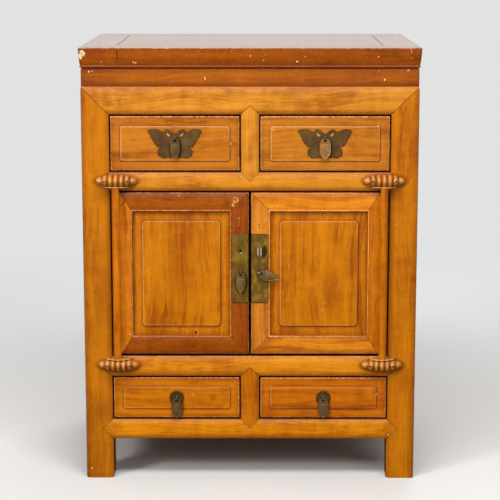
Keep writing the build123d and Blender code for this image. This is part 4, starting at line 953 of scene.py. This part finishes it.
def bead_frame(door, side):
    """A plane as large as the bead's outline, inset to a ring, extruded and rounded."""
    x0, x1, z0, z1 = PANEL_OPENING
    bpy.ops.mesh.primitive_plane_add(
        size=1.0,
        location=(side * (x0 + x1) / 2, FRONT_Y + 0.0035, (z0 + z1) / 2),
        rotation=(math.pi / 2, 0.0, 0.0),
    )
    ring = bpy.context.object
    ring.name = f"{door}_bead"
    ring.scale = (x1 - x0 + 2 * BEAD_WIDTH, z1 - z0 + 2 * BEAD_WIDTH, 1.0)
    bpy.ops.object.transform_apply()
    bpy.context.tool_settings.mesh_select_mode = (False, False, True)
    mode("EDIT")
    bpy.ops.mesh.select_all(action="SELECT")
    bpy.ops.mesh.inset(thickness=BEAD_WIDTH)
    bpy.ops.mesh.delete(type="FACE")
    bpy.ops.mesh.select_all(action="SELECT")
    bpy.ops.mesh.extrude_region_move(TRANSFORM_OT_translate={"value": (0.0, -0.004, 0.0)})
    bpy.ops.mesh.select_all(action="SELECT")
    bpy.ops.mesh.normals_make_consistent(inside=False)
    front = min(v.co.y for v in bmesh.from_edit_mesh(ring.data).verts)

    def along_front(edge):
        return edge.calc_length() > 0.01 and all(abs(v.co.y - front) < 1e-6 for v in edge.verts)

    pick(ring, "edges", along_front)
    bpy.ops.mesh.bevel(offset=0.00115, segments=4, clamp_overlap=False)
    mode("OBJECT")
    wear_and_shade = ring.data.attributes.new("wear_and_shade", "FLOAT", "FACE")
    for face in ring.data.polygons:
        if face.normal.y < -0.9:
            wear_and_shade.data[face.index].value = ARRIS
    bpy.ops.object.shade_smooth_by_angle(angle=math.radians(40))
    return ring


beads = ((-1, "left_door", (186, 102, 34)), (1, "right_door", (216, 132, 48)))
for side, door, tone in beads:
    finish = lacquered_wood(f"{door}_bead_lacquer", tone, open_box, 2, 75.0 + side)
    finished(bead_frame(door, side), finish, door)


# ---- Brass plates ----
# Plates cut from thin brass sheet, filed at the edges and gone olive and brown with age:
# butterflies on the upper drawers, scalloped discs on the lower ones, a tall plate on each
# door's lock stile, and a band staple on the right-hand one.
def old_brass(name, tone, bright, seed, polish, crown=None, shades=(), glints=()):
    """Sheet brass with a mottled patina, polished golden in patches and dark at the edges, part
    patina and part painted shade. Below the height crown it is painted dark all over as shade.
    Shades are painted shade and shadow in dark ovals, round pulls, in a nail hole and at the
    staple, given as x, z, half sizes across and along and degrees of turn, and specks are
    painted highlights, small bright dots, given as x, z and reach; both in millimetres."""
    finish = Finish(name)
    start = finish.vector("ADD", finish.place, (seed, seed * 0.7, seed * 1.3))
    cloud = finish.clouds(start, 42.0, 4.0, 0.62)
    patch = finish.clouds(finish.vector("MULTIPLY", start, (1.0, 1.0, 0.55)), 75.0, 3.0, 0.6)
    rust = finish.clouds(finish.vector("ADD", start, (3.1, 0.7, 5.3)), 58.0, 3.0, 0.6)
    fine = finish.clouds(start, 620.0, 3.0, 0.6)
    finish.colour = finish.blend(cloud.rise(0.32, 0.62), tinted(tone, 0.7, 0.66, 0.55), tone)
    finish.over(rust.rise(0.5, 0.66) * 0.55, tinted(tone, 1.0, 0.76, 0.74))
    finish.over(patch.rise(0.46, 0.68) * polish, bright)
    finish.over(fine.rise(0.52, 0.68) * 0.5, tinted(tone, 0.5, 0.42, 0.35))
    # Dark at the bevelled edges and round the rim, part patina and part painted shade.
    finish.over(finish.wear_and_shade().greater(0.0) * 0.8, tinted(tone, 0.26, 0.19, 0.12))
    # Painted shade and shadow in dark ovals.
    for x, z, across, along, *turn in shades:
        away = finish.turned(finish.away((x / 1000, 0.0, z / 1000)), math.radians(sum(turn)))
        away = finish.vector("MULTIPLY", away, (1000 / across, 0.0, 1000 / along))
        finish.over(finish.length(away).fall(0.84, 1.14) * 0.85, tinted(tone, 0.22, 0.15, 0.1))
    # Painted highlights: small bright dots.
    for x, z, reach in glints:
        away = finish.away((x / 1000, 0.0, z / 1000))
        away = finish.vector("MULTIPLY", away, (1000 / reach, 0.0, 1000 / reach))
        finish.over(finish.length(away).fall(0.7, 1.0) * 0.8, paint(236, 222, 190))
    if crown is not None:
        below = finish.part(finish.place, "Z").fall(crown - 0.0005, crown)
        finish.over(below * 0.85, paint(40, 30, 18))
    shine = 0.52 + (cloud - 0.5) * 0.35 + (fine - 0.5) * 0.25
    height = (cloud - 0.5) * 0.0005 + (fine - 0.5) * 0.00006
    return finish.surface(shine, height, {"Metallic": 0.62 - cloud.rise(0.5, 0.75) * 0.2})


olive = paint(134, 102, 34)
gold = paint(204, 156, 42)
PLATE_SKIN = 0.001
PLATE_RIM = 0.0008
# Painted shadows on the door plates: round each pull, in the left plate's nail hole and beside the
# staple on the right; the left plate's speck under the nail hole is a painted highlight.
left_shades = [(-16.6, 378.5, 12.2, 21.5), (-17.5, 438.5, 3, 3)]
right_shades = [(35, 391.2, 12, 22.5, 75), (26.5, 437.5, 5.6, 11.2, -8)]
door_plates = [
    ("left", -1, 0.35, left_shades, [(-16.8, 434.5, 1.4)]),
    ("right", 1, 0.61, right_shades, []),
]
# The last item of each row is the painted shadow round the pull: x, its shift to the right away
# from the key lamp, z and the oval's half sizes.
drawer_plates = [
    ("upper", "butterfly", paint(112, 82, 42), 5.0, 0.4, 0.0006, (137.5, 1.4, 627.5, 11.8, 20.5)),
    ("lower", "disc", paint(98, 76, 42), 8.0, 0.3, 0.0002, (137.75, 1.2, 136.5, 11.5, 19.5)),
]
for seed, (side, way, polish, shades, glints) in enumerate(door_plates):
    finish = old_brass(
        f"{side}_door_brass", olive, gold, 2.0 + seed, polish, shades=shades, glints=glints
    )
    body = f"{side}_door"
    eased(f"{body}_plate", 0.0004, finish, body, PLATE_SKIN, 0.0012, PLATE_RIM)
    for row, shape, tone, first, polish, shortest, (x, aside, *oval) in drawer_plates:
        shades = [(way * x + aside, *oval)]
        finish = old_brass(
            f"{side}_{shape}_brass", tone, olive, first + seed, polish, shades=shades
        )
        body = f"{row}_{side}_drawer"
        eased(f"{body}_plate", 0.00025, finish, body, PLATE_SKIN, shortest, PLATE_RIM)
# The staple's two rows of specks are painted highlights on its lit sides, its pale tone partly one
# too, and the dark oval down its middle is painted shade in its slot.
glints = [(x, 433.2 + step * 2.7, 1.4) for x in (14.6, 20.4) for step in range(5)]
finish = old_brass(
    "staple_brass", paint(226, 202, 150), paint(246, 232, 196), 11.0, 0.8,
    shades=[(17.5, 438.5, 1.7, 7.5)], glints=glints,
)
eased("right_door_staple", 0.0003, finish, "right_door", 0.02, 0.001)


# ---- Split pins and leaf pulls ----
# A split pin of bronze wire holds each pull: its eye stands in front of the plate and its
# legs are clinched behind the wood. The pull is a leaf of cast brass, slightly domed inside
# a narrow rim, and hangs from the eye by a bar across its neck.
NECK = 0.0066
DOME_STEPS = [
    (1.0, 0.0003), (0.9, 0.0), (0.96, -0.0003), (0.86, 0.0005), (0.74, 0.0004),
    (0.62, 0.0003), (0.5, 0.0001),
]
SWELLING = [(0.014 + step * 0.002, 1.035) for step in range(10)]
usual_shaping = [(0.0045, 0.95), (0.007, 0.94), (0.0095, 0.94), *SWELLING]
other_shaping = {
    "upper_right_drawer": [(0.018 + step * 0.002, 1.06) for step in range(10)],
    "right_door": [],
}


def domed(holder, finish):
    """The CAD leaf: cut across under its window, narrowed at the shoulders and widened to the
    tip by shares beyond given distances, and the front below swelled in steps."""
    node = f"{holder}_pull"
    turn = math.radians(75.0) if holder == "right_door" else 0.0
    down = Vector((math.sin(turn), 0.0, -math.cos(turn)))
    low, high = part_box(f"{holder}_pin")
    eye = Vector(((low[0] + high[0]) / 2, low[1], (low[2] + high[2]) / 2))
    leaf = opened(node, f"{node}_domed")
    bpy.ops.mesh.select_all(action="SELECT")
    bpy.ops.mesh.bisect(plane_co=eye + down * NECK, plane_no=down)
    bpy.ops.mesh.select_mode(type="VERT")
    for beyond, share in other_shaping.get(holder, usual_shaping):
        pick(leaf, "verts", lambda vertex: (vertex.co - eye).dot(down) > beyond)
        bpy.ops.transform.resize(value=(share, 1.0, 1.0), center_override=eye)
    bpy.ops.mesh.select_mode(type="FACE")
    fronts = [face for face in bmesh.from_edit_mesh(leaf.data).faces if face.normal.y < -0.99]
    largest = max(fronts, key=lambda face: face.calc_area())
    middle = eye + down * (largest.calc_center_median() - eye).dot(down) * 0.94
    pick(leaf, "faces", lambda face: face == largest)
    for share, rise in DOME_STEPS:
        bpy.ops.mesh.extrude_region_move(TRANSFORM_OT_translate={"value": (0.0, -rise, 0.0)})
        bpy.ops.transform.resize(value=(share, 1.0, share), center_override=middle)
    mode("OBJECT")
    bpy.ops.object.shade_smooth_by_angle(angle=math.radians(50))
    finished(leaf, finish, node)
    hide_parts(node)


pull_tones = {
    "left_door": (paint(138, 106, 58), 0.3),
    "right_door": (paint(138, 110, 66), 0.3),
    "upper_left_drawer": (paint(126, 98, 58), 0.2),
    "upper_right_drawer": (paint(188, 140, 82), 0.4),
    "lower_left_drawer": (paint(122, 98, 62), 0.2),
    "lower_right_drawer": (paint(128, 104, 66), 0.25),
}
# The pins' pale tone stands partly for the highlight on the eye, and below the crown each is
# painted dark as shade in the hole under the eye.
pin_tones = (paint(206, 184, 142), paint(236, 220, 180))
for seed, (holder, (tone, polish)) in enumerate(pull_tones.items()):
    bright = tinted(tone, 1.5, 1.4, 1.3)
    domed(holder, old_brass(f"{holder}_pull_brass", tone, bright, 20.0 + seed, polish))
    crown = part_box(f"{holder}_pin")[1][2] - 0.0022
    finish = old_brass(f"{holder}_pin_brass", *pin_tones, 30.0 + seed, 0.6, crown)
    dressed(f"{holder}_pin", finish)


# ---- Floor, light and camera ----
# A floor that the camera sees plain and pale, under plain studio light: a wide soft lamp high
# on the left in front, weaker ones on the right, overhead and behind, with a pale surround.
SURROUND = (0.76, 0.762, 0.765, 1.0)
bpy.ops.mesh.primitive_circle_add(vertices=96, radius=14.0, fill_type="NGON")
floor = bpy.context.object
floor.name = "studio_floor"
finish = Finish("floor_paint")
seen = finish.ray("Camera")
mirrored = finish.ray("Glossy")
reach = finish.length(finish.place)
far = finish.blend(reach.rise(1.2, 6.0), (0.006, 0.006, 0.006, 1.0), (0.38, 0.37, 0.35, 1.0))
tone = finish.blend(mirrored, (0.34, 0.33, 0.31, 1.0), far)
tone = finish.blend(seen, tone, (0.7, 0.695, 0.68, 1.0))
aside = finish.part(finish.place, "X").size()
# In reflections the floor is painted nearly black near the cabinet and glows far out, a painted
# light that lays a sheen along the rails' tops.
bright = reach.rise(11.0, 14.0) * mirrored * aside.fall(1.5, 4.0)
glowing = reach.rise(0.7, 2.4) * seen + bright
paintwork = finish.node("BsdfDiffuse", {"Color": tone})
glow = finish.node("Emission", {"Color": SURROUND})
shader = finish.node("MixShader", [glowing, paintwork, glow])
floor.data.materials.append(finish.shown(shader))

room = Finish("surround", "World")
seen = room.ray("Camera")
mirrored = room.ray("Glossy")
through = room.ray("Transmission")
towards = room.node("TexCoord", output="Generated")
aside, behind, above = (room.part(towards, i) for i in range(3))
window = room.blend(above.rise(-0.02, 0.15), (0.8, 0.8, 0.81, 1.0), (1.5, 1.5, 1.52, 1.0))
ceiling = room.blend(aside.size().fall(0.25, 0.6), (0.05, 0.05, 0.053, 1.0), window)
glossy = room.blend(behind.rise(-0.35, 0.35), ceiling, (0.7, 0.685, 0.66, 1.0))
sky = room.blend(mirrored, (0.27, 0.27, 0.275, 1.0), glossy)
sky = room.blend(seen.greater(through), sky, SURROUND)
scene.world = room.shown(room.node("Background", {"Color": sky}))


def soft_lamp(name, place, aim, width, height, power):
    """Rectangular lamp turned towards a point. Only the key lamp shows in reflections."""
    lamp = bpy.data.lights.new(name, "AREA")
    lamp.shape = "RECTANGLE"
    lamp.size, lamp.size_y, lamp.energy = width, height, power
    holder = bpy.data.objects.new(name, lamp)
    scene.collection.objects.link(holder)
    holder.location = place
    holder.rotation_euler = (Vector(aim) - Vector(place)).to_track_quat("-Z", "Y").to_euler()
    holder.visible_glossy = name == "key_lamp"


soft_lamp("key_lamp", (-2.1, -2.3, 1.75), (0.0, -0.2, 0.42), 0.7, 0.7, 50.0)
soft_lamp("fill_lamp", (1.8, -2.6, 1.5), (0.0, -0.2, 0.4), 1.6, 1.2, 20.0)
soft_lamp("top_lamp", (0.0, -1.5, 2.5), (0.0, -0.2, 0.5), 1.8, 0.8, 56.0)
soft_lamp("rear_lamp", (0.6, 2.4, 1.9), (0.0, 0.2, 0.45), 1.8, 1.2, 40.0)

FOCAL_PIXELS = 1695.9
PICTURE_PIXELS = 500
camera = bpy.data.cameras.new("camera")
camera.sensor_width = 36.0
camera.lens = FOCAL_PIXELS / PICTURE_PIXELS * camera.sensor_width
tripod = bpy.data.objects.new("camera", camera)
scene.collection.objects.link(tripod)
tripod.location = (0.013, FRONT_Y - 3.087, 1.009)
tripod.rotation_euler = (math.radians(90 - 10.45), 0.0, math.radians(0.24))
scene.camera = tripod
scene.view_settings.view_transform = "Standard"

bpy.context.view_layer.update()
